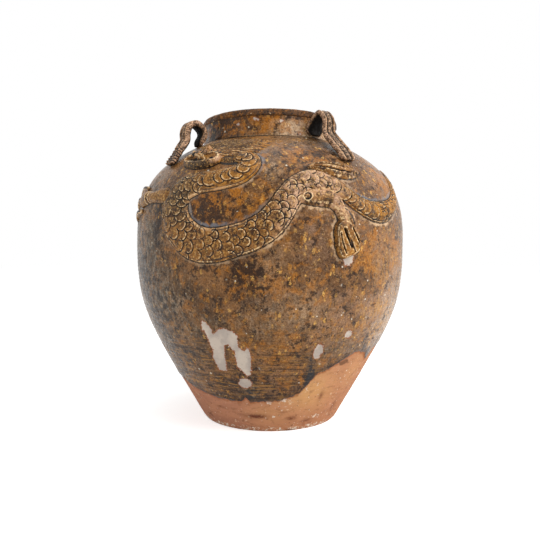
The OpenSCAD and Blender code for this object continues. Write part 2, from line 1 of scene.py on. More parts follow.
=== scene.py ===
import bpy
import math
import numpy as np
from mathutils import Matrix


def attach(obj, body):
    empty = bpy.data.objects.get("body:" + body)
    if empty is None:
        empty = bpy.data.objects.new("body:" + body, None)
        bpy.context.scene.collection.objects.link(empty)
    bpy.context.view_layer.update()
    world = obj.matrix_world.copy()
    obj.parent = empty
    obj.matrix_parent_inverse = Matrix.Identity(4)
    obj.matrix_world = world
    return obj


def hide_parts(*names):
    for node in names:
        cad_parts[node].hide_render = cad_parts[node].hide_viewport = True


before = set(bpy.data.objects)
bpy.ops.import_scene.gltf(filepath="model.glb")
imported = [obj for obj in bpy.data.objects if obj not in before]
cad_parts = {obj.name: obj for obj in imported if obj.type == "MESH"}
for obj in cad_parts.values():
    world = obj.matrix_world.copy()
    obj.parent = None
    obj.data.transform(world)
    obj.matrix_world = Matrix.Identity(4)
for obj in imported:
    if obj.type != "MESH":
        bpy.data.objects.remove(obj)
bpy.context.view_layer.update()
mm, weld = 0.001, 0.00001  # in metres; points closer together than weld are merged
print("frame loaded")

# Camera: the photo looks from between the front and left ears, a little above the belly
view = {"distance": 0.685, "height": 0.2038, "turn": -37, "tilt": 2.12, "lens": 36.2}
cameraData = bpy.data.cameras.new("camera")
cameraData.lens = view["lens"]
cameraData.sensor_width = 36
camera = bpy.data.objects.new("camera", cameraData)
camera.location = (view["distance"] * math.sin(math.radians(view["turn"])),
                   -view["distance"] * math.cos(math.radians(view["turn"])), view["height"])
camera.rotation_euler = (math.radians(90 - view["tilt"]), 0, math.radians(view["turn"]))
bpy.context.scene.collection.objects.link(camera)
bpy.context.scene.camera = camera
bpy.context.scene.view_settings.view_transform = "Standard"

# Sizes in mm, the same as in the part's source
jar = {"height": 360, "bellyWidth": 325, "bellyHeight": 219, "footWidth": 166, "footLean": 30,
       "footPull": 148, "bellyPullLow": 83, "bellyPullHigh": 69, "shoulderLean": 65,
       "shoulderPull": 47, "wall": 9, "slab": 11, "rebate": 3, "neckHeight": 30, "neckWidth": 167,
       "neckTopWidth": 163, "mouthWidth": 146, "lipHeight": 8, "lipWidth": 165, "neckWaist": 1.4}
neckZ = jar["height"] - jar["neckHeight"]
lipZ = jar["height"] - jar["lipHeight"]


def bezier(points, t):
    a, b, c, d = [np.array(p, float) for p in points]
    t = np.asarray(t, float)[:, None]
    return (1 - t) ** 3 * a + 3 * (1 - t) ** 2 * t * b + 3 * (1 - t) * t * t * c + t ** 3 * d


def wallCurves():
    foot, belly, neck = jar["footWidth"] / 2, jar["bellyWidth"] / 2, jar["neckWidth"] / 2
    lean, slope = math.radians(jar["footLean"]), math.radians(jar["shoulderLean"])
    lower = [(foot, 0), (foot + jar["footPull"] * math.sin(lean), jar["footPull"] * math.cos(lean)),
             (belly, jar["bellyHeight"] - jar["bellyPullLow"]), (belly, jar["bellyHeight"])]
    upper = [(belly, jar["bellyHeight"]), (belly, jar["bellyHeight"] + jar["bellyPullHigh"]),
             (neck + jar["shoulderPull"] * math.sin(slope), neckZ - jar["shoulderPull"] * math.cos(slope)),
             (neck, neckZ)]
    t = np.linspace(0, 1, 400)
    return np.vstack([bezier(lower, t), bezier(upper, t)[1:]])[::-1]


wallLine = wallCurves()  # from the neck crease down to the foot, as radius and height
wallDown = np.concatenate([[0], np.cumsum(np.hypot(*np.diff(wallLine, axis=0).T))])
wallRun = np.gradient(wallLine, axis=0)
wallLean = np.arctan2(wallRun[:, 0], -wallRun[:, 1])  # how far the outward normal rises


def radiusAt(down):
    return np.interp(down, wallDown, wallLine[:, 0])


def heightAt(down):
    return np.interp(down, wallDown, wallLine[:, 1])


def downAt(height):
    return np.interp(-np.asarray(height, float), -wallLine[:, 1], wallDown)


def degreeWidth(down):  # millimetres round the jar for one degree
    return radiusAt(down) * math.pi / 180


def softNoise(points, size, seed=0):
    # smooth lumps about size mm apart, from -1 to 1
    q = np.asarray(points, float) / size + seed * 17.31
    cell = np.floor(q).astype(np.int64)
    f = q - cell
    f = f * f * (3 - 2 * f)
    total = np.zeros(len(q))
    for dx in (0, 1):
        for dy in (0, 1):
            for dz in (0, 1):
                h = (cell[:, 0] + dx) * 73856093 ^ (cell[:, 1] + dy) * 19349663
                h = h ^ (cell[:, 2] + dz) * 83492791
                h = ((h & 0x7fffffff) * 1103515245 + 12345 * (seed + 1)) & 0x7fffffff
                h = ((h >> 8) * 1664525 + 1013904223) & 0x7fffffff
                weight = np.abs(1 - dx - f[:, 0]) * np.abs(1 - dy - f[:, 1]) * np.abs(1 - dz - f[:, 2])
                total += weight * ((h >> 7) & 0xffff) / 32767.5
    return total - 1


def smooth(x, low, high):
    t = np.clip((np.asarray(x, float) - low) / (high - low), 0, 1)
    return t * t * (3 - 2 * t)


def atWall(azimuth, down, lift):
    # azimuth counts from the photo's middle, to the right; down runs along the wall from the neck
    down = np.asarray(down, float)
    lean = np.interp(down, wallDown, wallLean)
    r = radiusAt(down) + lift * np.cos(lean)
    z = heightAt(down) + lift * np.sin(lean)
    a = np.radians(np.asarray(azimuth, float) + view["turn"])
    return np.stack([r * np.sin(a), -r * np.cos(a), z + 0 * a], -1)


def wallSwell(points):  # the hand-thrown wall is never quite round
    return 0.55 * softNoise(points, 95, 3) + 0.3 * softNoise(points, 42, 4)


def onWall(azimuth, down, lift):
    azimuth, down = np.broadcast_arrays(np.asarray(azimuth, float), np.asarray(down, float))
    shape = azimuth.shape
    flat = atWall(azimuth.ravel(), down.ravel(), 0)
    swell = wallSwell(flat).reshape(shape)
    return atWall(azimuth, down, lift + swell)


def onlySelect(piece):
    if bpy.context.object and bpy.context.object.mode == "EDIT":
        bpy.ops.object.mode_set(mode="OBJECT")
    bpy.ops.object.select_all(action="DESELECT")
    if piece:
        piece.select_set(True)
        bpy.context.view_layer.objects.active = piece


def places(piece):
    values = np.empty(len(piece.data.vertices) * 3)
    piece.data.vertices.foreach_get("co", values)
    return values.reshape(-1, 3) / mm


def putPlaces(piece, points):
    piece.data.vertices.foreach_set("co", (np.asarray(points) * mm).ravel())
    piece.data.update()


def note(piece, name, values):  # a number at every vertex, which the finishes read
    attribute = piece.data.attributes.get(name) or piece.data.attributes.new(name, "FLOAT", "POINT")
    attribute.data.foreach_set("value", np.asarray(values, np.float32).ravel())


def mergeDoubles(piece):
    onlySelect(piece)
    bpy.ops.object.mode_set(mode="EDIT")
    bpy.ops.mesh.select_all(action="SELECT")
    bpy.ops.mesh.remove_doubles(threshold=weld)
    bpy.ops.mesh.normals_make_consistent(inside=False)
    bpy.ops.object.mode_set(mode="OBJECT")


def finishPiece(piece, material, nodes, lining=None):
    onlySelect(piece)
    bpy.ops.object.shade_smooth_by_angle(angle=math.radians(62))
    piece.data.materials.clear()
    piece.data.materials.append(material)
    if lining is not None:  # for the faces that look inwards below the neck, and for the underside
        piece.data.materials.append(lining)
        liningTop = (neckZ - 1.5) * mm
        for face in piece.data.polygons:
            middle, out = face.center, face.normal
            across = middle.x * out.x + middle.y * out.y
            inward = across < -0.002 * math.hypot(middle.x, middle.y) and middle.z < liningTop
            face.material_index = int(inward or (out.z < -0.9 and middle.z < 2 * mm))
    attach(piece, "root")
    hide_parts(*nodes)
    print(piece.name, len(piece.data.polygons), "faces")


def turnedRound(points, degrees):  # round the jar's axis
    a = math.radians(degrees)
    return np.stack([points[:, 0] * math.cos(a) - points[:, 1] * math.sin(a),
                     points[:, 0] * math.sin(a) + points[:, 1] * math.cos(a), points[:, 2]], 1)


def copyTurned(piece, name, degrees):
    other = piece.copy()
    other.data = piece.data.copy()
    other.name = name
    bpy.context.scene.collection.objects.link(other)
    putPlaces(other, turnedRound(places(other), degrees))
    return other


def clayTube(name, rings, notes):
    # a grid wrapped into a tube through rings of points, its ends closed
    count, around = rings.shape[0], rings.shape[1]
    onlySelect(None)
    bpy.ops.mesh.primitive_grid_add(x_subdivisions=around, y_subdivisions=count - 1, size=2)
    piece = bpy.context.object
    piece.name = piece.data.name = name
    p = places(piece) * mm
    col = np.rint((p[:, 0] + 1) / 2 * around).astype(int) % around
    row = np.rint((p[:, 1] + 1) / 2 * (count - 1)).astype(int)
    putPlaces(piece, rings[row, col])
    for key, values in notes.items():
        note(piece, key, values[row, col])
    onlySelect(piece)
    bpy.ops.object.mode_set(mode="EDIT")
    bpy.ops.mesh.select_all(action="SELECT")
    bpy.ops.mesh.remove_doubles(threshold=weld)
    bpy.ops.mesh.select_all(action="DESELECT")
    bpy.ops.mesh.select_mode(type="EDGE")
    bpy.ops.mesh.select_non_manifold()
    bpy.ops.mesh.edge_face_add()
    bpy.ops.mesh.select_all(action="SELECT")
    bpy.ops.mesh.normals_make_consistent(inside=False)
    bpy.ops.mesh.select_mode(type="VERT")
    bpy.ops.object.mode_set(mode="OBJECT")
    return piece


def claySheet(name, azimuths, downs, step, shape):
    # a patch of the wall raised by shape(azimuth, down), kept only where it stands off the wall
    deepest, thick = -1.2, 1.0  # what sinks deeper than this into the wall is cut away
    midWidth = degreeWidth((downs[0] + downs[1]) / 2)
    across = int((azimuths[1] - azimuths[0]) * midWidth / step)
    along = int((downs[1] - downs[0]) / step)
    onlySelect(None)
    bpy.ops.mesh.primitive_grid_add(x_subdivisions=across, y_subdivisions=along, size=2)
    piece = bpy.context.object
    piece.name = piece.data.name = name
    p = places(piece) * mm
    az = azimuths[0] + (p[:, 0] + 1) / 2 * (azimuths[1] - azimuths[0])
    down = downs[1] - (p[:, 1] + 1) / 2 * (downs[1] - downs[0])
    lift, notes = shape(az, down)
    putPlaces(piece, onWall(az, down, np.maximum(lift, deepest)))
    for key, values in notes.items():
        note(piece, key, values)
    onlySelect(piece)
    bpy.ops.object.mode_set(mode="EDIT")
    bpy.ops.mesh.select_mode(type="VERT")
    bpy.ops.mesh.select_all(action="DESELECT")
    bpy.ops.object.mode_set(mode="OBJECT")
    piece.data.vertices.foreach_set("select", lift < deepest + 0.01)
    bpy.ops.object.mode_set(mode="EDIT")
    bpy.ops.mesh.delete(type="VERT")
    bpy.ops.mesh.select_all(action="SELECT")
    bpy.ops.mesh.delete_loose()
    bpy.ops.object.mode_set(mode="OBJECT")
    thicken = piece.modifiers.new("thickness", "SOLIDIFY")
    thicken.thickness = thick * mm
    thicken.offset = -1
    bpy.ops.object.modifier_apply(modifier="thickness")
    return piece


# A smooth curve through given points
def smoothLine(points, steps=8):
    p = np.array(points, float)
    last = len(p) - 1
    out = []
    for i in range(last):
        a, b, c, d = p[max(i - 1, 0)], p[i], p[i + 1], p[min(i + 2, last)]
        for k in range(steps):
            t = k / steps
            out.append((2 * b + (c - a) * t + (2 * a - 5 * b + 4 * c - d) * t * t
                        + (3 * b - a - 3 * c + d) * t ** 3) / 2)
    out.append(p[last])
    return np.array(out)


def alongLine(line):  # mm along the wall at each point of a line
    middle = (line[1:, 1] + line[:-1, 1]) / 2
    steps = np.hypot(np.diff(line[:, 0]) * degreeWidth(middle), np.diff(line[:, 1]))
    return np.concatenate([[0], np.cumsum(steps)])


def stretchGap(azimuth, down, a, b):
    # how far along a straight stretch each place lies, how far from it, and on which side
    width = degreeWidth((a[1] + down) / 2)
    dx, dy = (azimuth - a[0]) * width, down - a[1]
    ex, ey = (b[0] - a[0]) * width, b[1] - a[1]
    t = np.clip((dx * ex + dy * ey) / (ex * ex + ey * ey + 1e-9), 0, 1)
    return t, np.hypot(dx - t * ex, dy - t * ey), np.sign(ex * dy - ey * dx)


def fromLine(azimuth, down, points, steps=5):
    # how far each place lies from a line on the wall, on which side, and the line's other values there
    line = smoothLine(points, steps)
    run = alongLine(line)
    best = np.full(azimuth.shape, 1e9)
    side = np.zeros(azimuth.shape)
    where = np.zeros(azimuth.shape)
    for i in range(len(line) - 1):
        t, gap, hand = stretchGap(azimuth, down, line[i], line[i + 1])
        closer = gap < best
        best = np.where(closer, gap, best)
        side = np.where(closer, hand * gap, side)
        where = np.where(closer, run[i] + t * (run[i + 1] - run[i]), where)
    extra = [np.interp(where, run, line[:, k]) for k in range(2, line.shape[1])]
    return best, side, extra


def rolled(azimuth, down, points, edge=1.2, power=2.6):
    # a roll of clay along [azimuth, down, width, height] points, and where each place is across it
    gap, side, (width, height) = fromLine(azimuth, down, points)
    x = gap / (width / 2)
    inside = edge + (height - edge) * (1 - np.minimum(x, 1) ** power)
    outside = edge - (x - 1) * width / 2 * 3.2
    return np.where(x < 1, inside, outside), side / (width / 2)


def joined(a, b, blend=1.0):
    h = np.clip(0.5 + 0.5 * (a - b) / blend, 0, 1)
    return b + (a - b) * h + blend * h * (1 - h)


def fromSpot(azimuth, down, spot):
    return np.hypot((azimuth - spot[0]) * degreeWidth((down + spot[1]) / 2), down - spot[1])


def bell(gap, reach):  # 1 on the line, fading out by about twice the reach
    return np.exp(-(gap / reach) ** 2)


def wallNoise(azimuth, down, size, seed):
    return softNoise(onWall(azimuth, down, 0).reshape(-1, 3), size, seed).reshape(azimuth.shape)


def insidePatch(azimuth, down, outline):
    # mm inside a closed outline on the wall, negative outside it
    pts = np.array(outline, float)
    best = np.full(azimuth.shape, 1e9)
    crossed = np.zeros(azimuth.shape, bool)
    for i in range(len(pts)):
        a, b = pts[i], pts[(i + 1) % len(pts)]
        best = np.minimum(best, stretchGap(azimuth, down, a, b)[1])
        if a[1] != b[1]:
            spans = (a[1] > down) != (b[1] > down)
            crossed ^= spans & (azimuth < a[0] + (down - a[1]) * (b[0] - a[0]) / (b[1] - a[1]))
    return np.where(crossed, best, -best)


def hexColour(text):
    rgb = [int(text[i:i + 2], 16) / 255 for i in (1, 3, 5)]
    return [c / 12.92 if c <= 0.04045 else ((c + 0.055) / 1.055) ** 2.4 for c in rgb] + [1]


class Finish:
    def __init__(self, name):
        self.material = bpy.data.materials.new(name)
        self.material.use_nodes = True
        self.tree = self.material.node_tree
        self.tree.nodes.clear()
        self.output = self.tree.nodes.new("ShaderNodeOutputMaterial")
        self.shader = self.tree.nodes.new("ShaderNodeBsdfPrincipled")
        self.tree.links.new(self.shader.outputs[0], self.output.inputs[0])
        self.where = self.tree.nodes.new("ShaderNodeTexCoord").outputs["Object"]

    def link(self, value, socket):
        if isinstance(value, bpy.types.NodeSocket):
            self.tree.links.new(value, socket)
        else:
            socket.default_value = value

    def noted(self, name):
        n = self.tree.nodes.new("ShaderNodeAttribute")
        n.attribute_name = name
        return n.outputs["Fac"]

    def stretched(self, x, y, z, place=(0, 0, 0)):
        n = self.tree.nodes.new("ShaderNodeMapping")
        self.tree.links.new(self.where, n.inputs["Vector"])
        n.inputs["Scale"].default_value = (x, y, z)
        n.inputs["Location"].default_value = place
        return n.outputs[0]

    def lumps(self, size, detail=4, rough=0.55, vector=None, distort=0.0):
        # noise with lumps of about size mm
        n = self.tree.nodes.new("ShaderNodeTexNoise")
        self.tree.links.new(vector or self.where, n.inputs["Vector"])
        n.inputs["Scale"].default_value = 1000 / size
        n.inputs["Detail"].default_value = detail
        n.inputs["Roughness"].default_value = rough
        n.inputs["Distortion"].default_value = distort
        return n.outputs["Fac"]

    def spots(self, size, reach, share, vector=None, rag=0.12):
        # round flecks about size mm apart; only a share of them show, each a little different
        n = self.tree.nodes.new("ShaderNodeTexVoronoi")
        self.tree.links.new(vector or self.where, n.inputs["Vector"])
        n.inputs["Scale"].default_value = 1000 / size
        parts = self.tree.nodes.new("ShaderNodeSeparateColor")
        self.tree.links.new(n.outputs["Color"], parts.inputs[0])
        gap = self.frayed(n.outputs["Distance"], self.lumps(size * 0.35, 3, 0.6), rag * 5)
        wide = self.times(parts.outputs[1], reach)
        inside = self.between(self.maths("SUBTRACT", gap, wide), 0.06, -0.04)
        return self.times(inside, self.between(parts.outputs[0], share + 0.03, share - 0.03))

    def maths(self, kind, a, b):
        n = self.tree.nodes.new("ShaderNodeMath")
        n.operation = kind
        self.link(a, n.inputs[0])
        self.link(b, n.inputs[1])
        return n.outputs[0]

    def times(self, a, b):
        return self.maths("MULTIPLY", a, b)

    def frayed(self, value, pattern, reach):
        # a value pushed up and down by a pattern, so that edges drawn from it turn ragged
        return self.maths("ADD", value, self.times(self.maths("SUBTRACT", pattern, 0.5), reach))

    def between(self, value, low, high, start=0.0, end=1.0):
        n = self.tree.nodes.new("ShaderNodeMapRange")
        n.interpolation_type = "SMOOTHSTEP"
        self.link(value, n.inputs["Value"])
        n.inputs["From Min"].default_value = low
        n.inputs["From Max"].default_value = high
        n.inputs["To Min"].default_value = start
        n.inputs["To Max"].default_value = end
        return n.outputs["Result"]

    def blend(self, share, a, b, kind="MIX"):
        n = self.tree.nodes.new("ShaderNodeMix")
        n.data_type = "RGBA"
        n.blend_type = kind
        n.clamp_factor = True
        self.link(share, n.inputs[0])
        for value, socket in ((a, n.inputs[6]), (b, n.inputs[7])):
            self.link(hexColour(value) if isinstance(value, str) else value, socket)
        return n.outputs[2]

    def uneven(self, height, depth, strength, before=None):
        n = self.tree.nodes.new("ShaderNodeBump")
        n.inputs["Distance"].default_value = depth * mm
        n.inputs["Strength"].default_value = strength
        self.link(height, n.inputs["Height"])
        if before is not None:
            self.tree.links.new(before, n.inputs["Normal"])
        return n.outputs[0]

    def done(self, colour, roughness, normal, specular):
        self.link(colour, self.shader.inputs["Base Color"])
        self.link(roughness, self.shader.inputs["Roughness"])
        self.shader.inputs["Specular IOR Level"].default_value = specular
        self.tree.links.new(normal, self.shader.inputs["Normal"])
        return self.material


glazeColours = {"brown": "#5e3f22", "warm": "#8d633a", "dark": "#25140a", "amber": "#aa6b1c",
                "gold": "#e2ae5c", "violet": "#a7846b", "grey": "#50483a", "ash": "#989080",
                "run": "#c68f42", "pale": "#c9ab8a", "spark": "#b8966e", "drop": "#b67d33",
                "pin": "#eadfca", "grain": "#d2c9bd"}
wallColours = {"halo": "#d8b48c", "slate": "#6c6e74", "crease": "#17130f", "drip": "#212327",
               "hollowShadow": "#120a06", "ringLine": "#a37438", "thickEdge": "#3b2514", "lossEdge": "#8f4d22",
               "loss": "#b0a398", "lossPale": "#c8baab", "lossSoiled": "#8f8076"}
clayColours = {"body": "#b67f5c", "flashed": "#cd9a66", "pink": "#ad775e", "mottle": "#c98f6a",
               "stain": "#84563d", "pit": "#6d4532", "chalk": "#e0c3a0", "lime": "#e6d8c5",
               "smudge": "#6a3a28", "scar": "#4f3424", "edge": "#8f4d22", "soil": "#8b7361"}


def glazeTone(f):
    # the ash glaze's brown body, its amber patches, flecks, greys and runs
    c = glazeColours
    middle = f.lumps(12, 6, 0.62, distort=0.5)
    fine = f.lumps(2.6, 5, 0.7)
    colour = f.blend(f.between(f.lumps(34, 5, 0.6), 0.43, 0.57), c["brown"], c["warm"])
    amber = f.frayed(f.noted("amber"), middle, 3.4)
    colour = f.blend(f.between(amber, 0.15, 0.75, 0, 0.9), colour, c["amber"])
    patchy = f.between(f.lumps(24, 5, 0.6, f.stretched(1, 1, 0.7, (0.4, 0.9, 0.2))), 0.45, 0.56, 1.0, 0.2)
    violet = f.times(f.noted("violet"), f.times(patchy, f.between(middle, 0.42, 0.56, 1.0, 0.5)))
    colour = f.blend(f.times(violet, 0.9), colour, c["violet"])
    pale = f.times(f.noted("pale"), f.between(f.lumps(7, 5, 0.7), 0.42, 0.56, 0.25, 1.0))
    colour = f.blend(pale, colour, c["pale"])
    grey = f.times(f.noted("grey"), f.between(f.lumps(8, 5, 0.7), 0.42, 0.56, 0.55, 1.0))
    ash = f.blend(f.between(f.lumps(4.5, 5, 0.7, f.stretched(1, 1, 0.4)), 0.48, 0.58), c["grey"], c["ash"])
    colour = f.blend(grey, colour, ash)
    runs = f.between(f.lumps(6, 4, 0.6, f.stretched(1, 1, 0.16)), 0.5, 0.6)
    colour = f.blend(f.times(runs, f.times(f.noted("streak"), 0.7)), colour, c["run"])
    # dark cloudy places and painted shade, both from the same note, and grit in the glaze
    darkGlazeAndShade = f.noted("darkGlazeAndShade")
    shade = f.maths("ADD", f.times(darkGlazeAndShade, 0.13), f.lumps(8, 6, 0.7))
    colour = f.blend(f.between(shade, 0.54, 0.64, 0, 0.88), colour, c["dark"])
    grit = f.maths("ADD", f.times(darkGlazeAndShade, 0.05), fine)
    colour = f.blend(f.between(grit, 0.55, 0.64, 0, 0.65), colour, c["dark"])
    bright = f.lumps(2.0, 4, 0.75, f.stretched(1, 1, 0.9, (0.6, 0.2, 0.7)))
    light = f.maths("SUBTRACT", bright, f.times(darkGlazeAndShade, 0.05))
    colour = f.blend(f.between(light, 0.54, 0.64, 0, 0.5), colour, c["spark"])
    # drops and pinholes, fewer where the glaze is grey
    busy = f.between(f.lumps(22, 3), 0.4, 0.56, 0.2, 1.0)
    busy = f.times(busy, f.maths("SUBTRACT", 1.0, f.times(f.noted("grey"), 0.75)))
    amberDrops = f.spots(6.0, 0.4, 0.5, f.stretched(1, 1, 0.55), 0.3)
    colour = f.blend(f.times(f.times(amberDrops, busy), 0.7), colour, c["drop"])
    darkDrops = f.spots(3.4, 0.34, 0.3, f.stretched(1, 1, 0.9, (0.1, 0.3, 0.2)), 0.3)
    colour = f.blend(f.times(darkDrops, 0.6), colour, c["dark"])
    goldDrops = f.spots(4.2, 0.38, 0.45, f.stretched(1, 1, 0.6, (0.3, 0.1, 0.4)), 0.3)
    colour = f.blend(f.times(f.times(goldDrops, busy), 0.8), colour, c["gold"])
    grain = f.between(f.lumps(1.5, 3, 0.8, f.stretched(1, 1, 1, (0.8, 0.1, 0.3))), 0.43, 0.57)
    colour = f.blend(1.0, colour, f.blend(grain, c["grain"], "#ffffff"), "MULTIPLY")
    pins = f.spots(7.0, 0.14, 0.2, f.stretched(1, 1, 1, (0.5, 0.2, 0.1)))
    return f.blend(f.times(pins, 0.75), colour, c["pin"]), middle, fine


def besideDragons(f, colour, fine):
    # beside the dragons the glaze broke pale and pooled slate-grey, with painted shade right against them
    c = wallColours
    near = f.noted("near")
    wide = f.frayed(near, f.lumps(6, 4, 0.6), 12.0)
    colour = f.blend(f.times(f.noted("halo"), f.between(wide, 4.2, 1.8, 0, 0.9)), colour, c["halo"])
    colour = f.blend(f.times(f.noted("slate"), f.between(wide, 5.0, 2.0, 0, 0.85)), colour, c["slate"])
    # painted shade in the crease along the applied clay and at the neck's foot
    colour = f.blend(f.between(f.frayed(near, fine, 4.5), 1.7, 0.9, 0, 0.95), colour, c["crease"])
    dripped = f.frayed(f.noted("drip"), f.lumps(3.4, 4, 0.7), 2.2)
    colour = f.blend(f.between(dripped, 0.4, 0.85, 0, 0.85), colour, c["drip"])
    # painted shadow on the wall behind and under the ears
    deepest = f.between(f.lumps(9, 3), 0.4, 0.58, 0.68, 0.97)
    return f.blend(f.times(f.noted("hollowShadow"), deepest), colour, c["hollowShadow"])


def footClay(f, fine, signed):
    # the bare foot: flashed clay, soil, pits, lime and the scars of handling
    c = clayColours
    clay = f.blend(f.noted("flash"), c["body"], c["flashed"])
    clay = f.blend(f.noted("pinkClay"), clay, c["pink"])
    mottle = f.lumps(20, 4, 0.6, f.stretched(1, 1, 2.5))
    clay = f.blend(f.between(mottle, 0.5, 0.6, 0, 0.35), clay, c["mottle"])
    stain = f.lumps(5, 5, 0.75, f.stretched(0.5, 0.5, 1))
    clay = f.blend(f.between(stain, 0.53, 0.63, 0, 0.4), clay, c["stain"])
    clay = f.blend(f.times(f.spots(4.5, 0.3, 0.3), 0.5), clay, c["pit"])
    chalk = f.spots(6, 0.22, 0.25, f.stretched(1, 1, 1, (0.2, 0.4, 0.3)))
    clay = f.blend(f.times(chalk, 0.7), clay, c["chalk"])
    limy = f.frayed(f.noted("lime"), f.lumps(3.4, 4, 0.7), 3.5)
    clay = f.blend(f.between(limy, 0.5, 0.62, 0, 0.9), clay, c["lime"])
    smudged = f.times(f.noted("smudge"), f.between(fine, 0.42, 0.54, 0.6, 1.0))
    clay = f.blend(smudged, clay, c["smudge"])
    clay = f.blend(f.between(signed, -4.5, -0.4, 0, 0.6), clay, c["edge"])
    return f.blend(f.times(f.spots(16, 0.2, 0.3, f.stretched(0.5, 0.5, 1)), 0.7), clay, c["scar"])


def wallFinish():
    f = Finish("wallGlaze")
    c = wallColours
    colour, _, fine = glazeTone(f)
    # dark and amber bands follow the throwing rings
    ringed = f.noted("rings")
    bands = f.lumps(4.6, 4, 0.62, f.stretched(0.09, 0.09, 1))
    banded = f.times(f.between(bands, 0.48, 0.58), f.times(ringed, 0.9))
    colour = f.blend(banded, colour, glazeColours["dark"])
    lines = f.lumps(3.0, 4, 0.6, f.stretched(0.16, 0.16, 1, (0.2, 0.4, 0.1)))
    colour = f.blend(f.times(f.between(lines, 0.52, 0.6), f.times(ringed, 0.85)), colour, c["ringLine"])
    colour = besideDragons(f, colour, fine)
    # the thick dark lip of glaze above the bare foot
    signed = f.frayed(f.noted("glaze"), f.lumps(5, 5, 0.65), 11.0)
    colour = f.blend(f.between(signed, 9.0, 1.5, 0, 0.55), colour, c["thickEdge"])
    gathered = f.times(f.between(signed, 4.5, 1.0, 0, 0.8), f.between(f.lumps(22, 3), 0.47, 0.6))
    colour = f.blend(gathered, colour, c["drip"])
    glazed = f.between(signed, -0.25, 0.45)
    colour = f.blend(glazed, footClay(f, fine, signed), colour)
    # places where the glaze has flaked off
    lost = f.frayed(f.noted("loss"), f.lumps(3.2, 5, 0.75), 9.5)
    colour = f.blend(f.between(lost, -1.3, -0.35), colour, c["lossEdge"])
    bare = f.blend(f.between(f.lumps(24, 3), 0.42, 0.6), c["loss"], c["lossPale"])
    bare = f.blend(f.between(fine, 0.56, 0.7, 0, 0.5), bare, c["lossSoiled"])
    colour = f.blend(f.between(lost, -0.3, 0.3), colour, bare)
    shiny = f.maths("SUBTRACT", glazed, f.between(lost, -0.3, 0.3))
    gloss = f.between(f.lumps(6, 4), 0.3, 0.7, 0.2, 0.42)
    roughness = f.maths("ADD", f.times(f.maths("SUBTRACT", 1.0, shiny), 0.5), gloss)
    bump = f.uneven(f.lumps(6, 4, 0.6), 1.4, 0.6)
    bump = f.uneven(f.lumps(1.3, 4, 0.65), 0.35, 0.6, bump)
    return f.done(colour, roughness, bump, 0.16)


dragonColours = {"body": "#ab7532", "olive": "#574c37", "pink": "#dcb496", "tan": "#b47a26",
                 "blotch": "#3d2412", "darkGlazeAndShade": "#2b1d13", "fleck": "#daab66", "grain": "#cfc4b6",
                 "cream": "#cfa06f", "paleRidgeAndHighlight": "#e6c596", "poolEdge": "#4d4a47", "poolAndShade": "#111216"}


def dragonFinish():
    f = Finish("dragonGlaze")
    c = dragonColours
    colour, middle, fine = glazeTone(f)
    blotch = f.lumps(5.5, 5, 0.65, f.stretched(1, 1, 1, (0.7, 0.3, 0.1)))
    colour = f.blend(f.between(middle, 0.44, 0.56, 0.8, 0.3), colour, c["body"])
    colour = f.blend(f.times(f.noted("olive"), f.between(middle, 0.44, 0.56, 0.85, 0.4)), colour, c["olive"])
    colour = f.blend(f.times(f.noted("pink"), f.between(blotch, 0.44, 0.58, 0.95, 0.3)), colour, c["pink"])
    colour = f.blend(f.times(f.noted("tan"), f.between(middle, 0.42, 0.58, 0.95, 0.6)), colour, c["tan"])
    colour = f.blend(f.between(blotch, 0.515, 0.59, 0, 0.8), colour, c["blotch"])
    # dark glaze patches, and painted shade on the dragon's sides, under its jaw and down its foot's edge
    colour = f.blend(f.times(f.noted("darkGlazeAndShade"), f.between(blotch, 0.42, 0.54, 0.4, 1.0)), colour, c["darkGlazeAndShade"])
    flecked = f.maths("SUBTRACT", f.between(fine, 0.52, 0.6, 0, 0.65), f.times(f.noted("tan"), 0.25))
    colour = f.blend(flecked, colour, c["fleck"])
    grain = f.between(f.lumps(1.3, 3, 0.8, f.stretched(1, 1, 1, (0.2, 0.6, 0.3))), 0.43, 0.57)
    colour = f.blend(1.0, colour, f.blend(grain, c["grain"], "#ffffff"), "MULTIPLY")
    colour = f.blend(f.times(f.noted("cream"), f.between(middle, 0.42, 0.56, 0.85, 0.2)), colour, c["cream"])
    # glaze ran thin and pale off the ridges, with a painted highlight along them, and thick and dark into
    # the cuts, with painted shade where the clay meets the wall
    paleRidgeAndHighlight = f.frayed(f.noted("rise"), fine, 3.0)
    colour = f.blend(f.between(paleRidgeAndHighlight, 0.4, 0.9, 0, 0.9), colour, c["paleRidgeAndHighlight"])
    poolAndShade = f.frayed(f.noted("poolAndShade"), fine, 1.2)
    colour = f.blend(f.between(poolAndShade, 0.12, 0.5, 0, 0.45), colour, c["poolEdge"])
    colour = f.blend(f.between(poolAndShade, 0.3, 0.62, 0, 0.98), colour, c["poolAndShade"])
    bump = f.uneven(f.lumps(4, 4, 0.6), 1.0, 0.6)
    bump = f.uneven(f.lumps(1.1, 4, 0.65), 0.3, 0.6, bump)
    return f.done(colour, f.between(f.lumps(5, 4), 0.4, 0.6, 0.22, 0.42), bump, 0.16)


earColours = {"body": "#94683a", "pink": "#b18b70", "olive": "#433c2e", "fleck": "#d6ad8c",
              "crackle": "#2d1d12", "paleRidgeAndHighlight": "#c9a27c", "poolAndShade": "#1c130b", "hollowShadow": "#0d0805"}


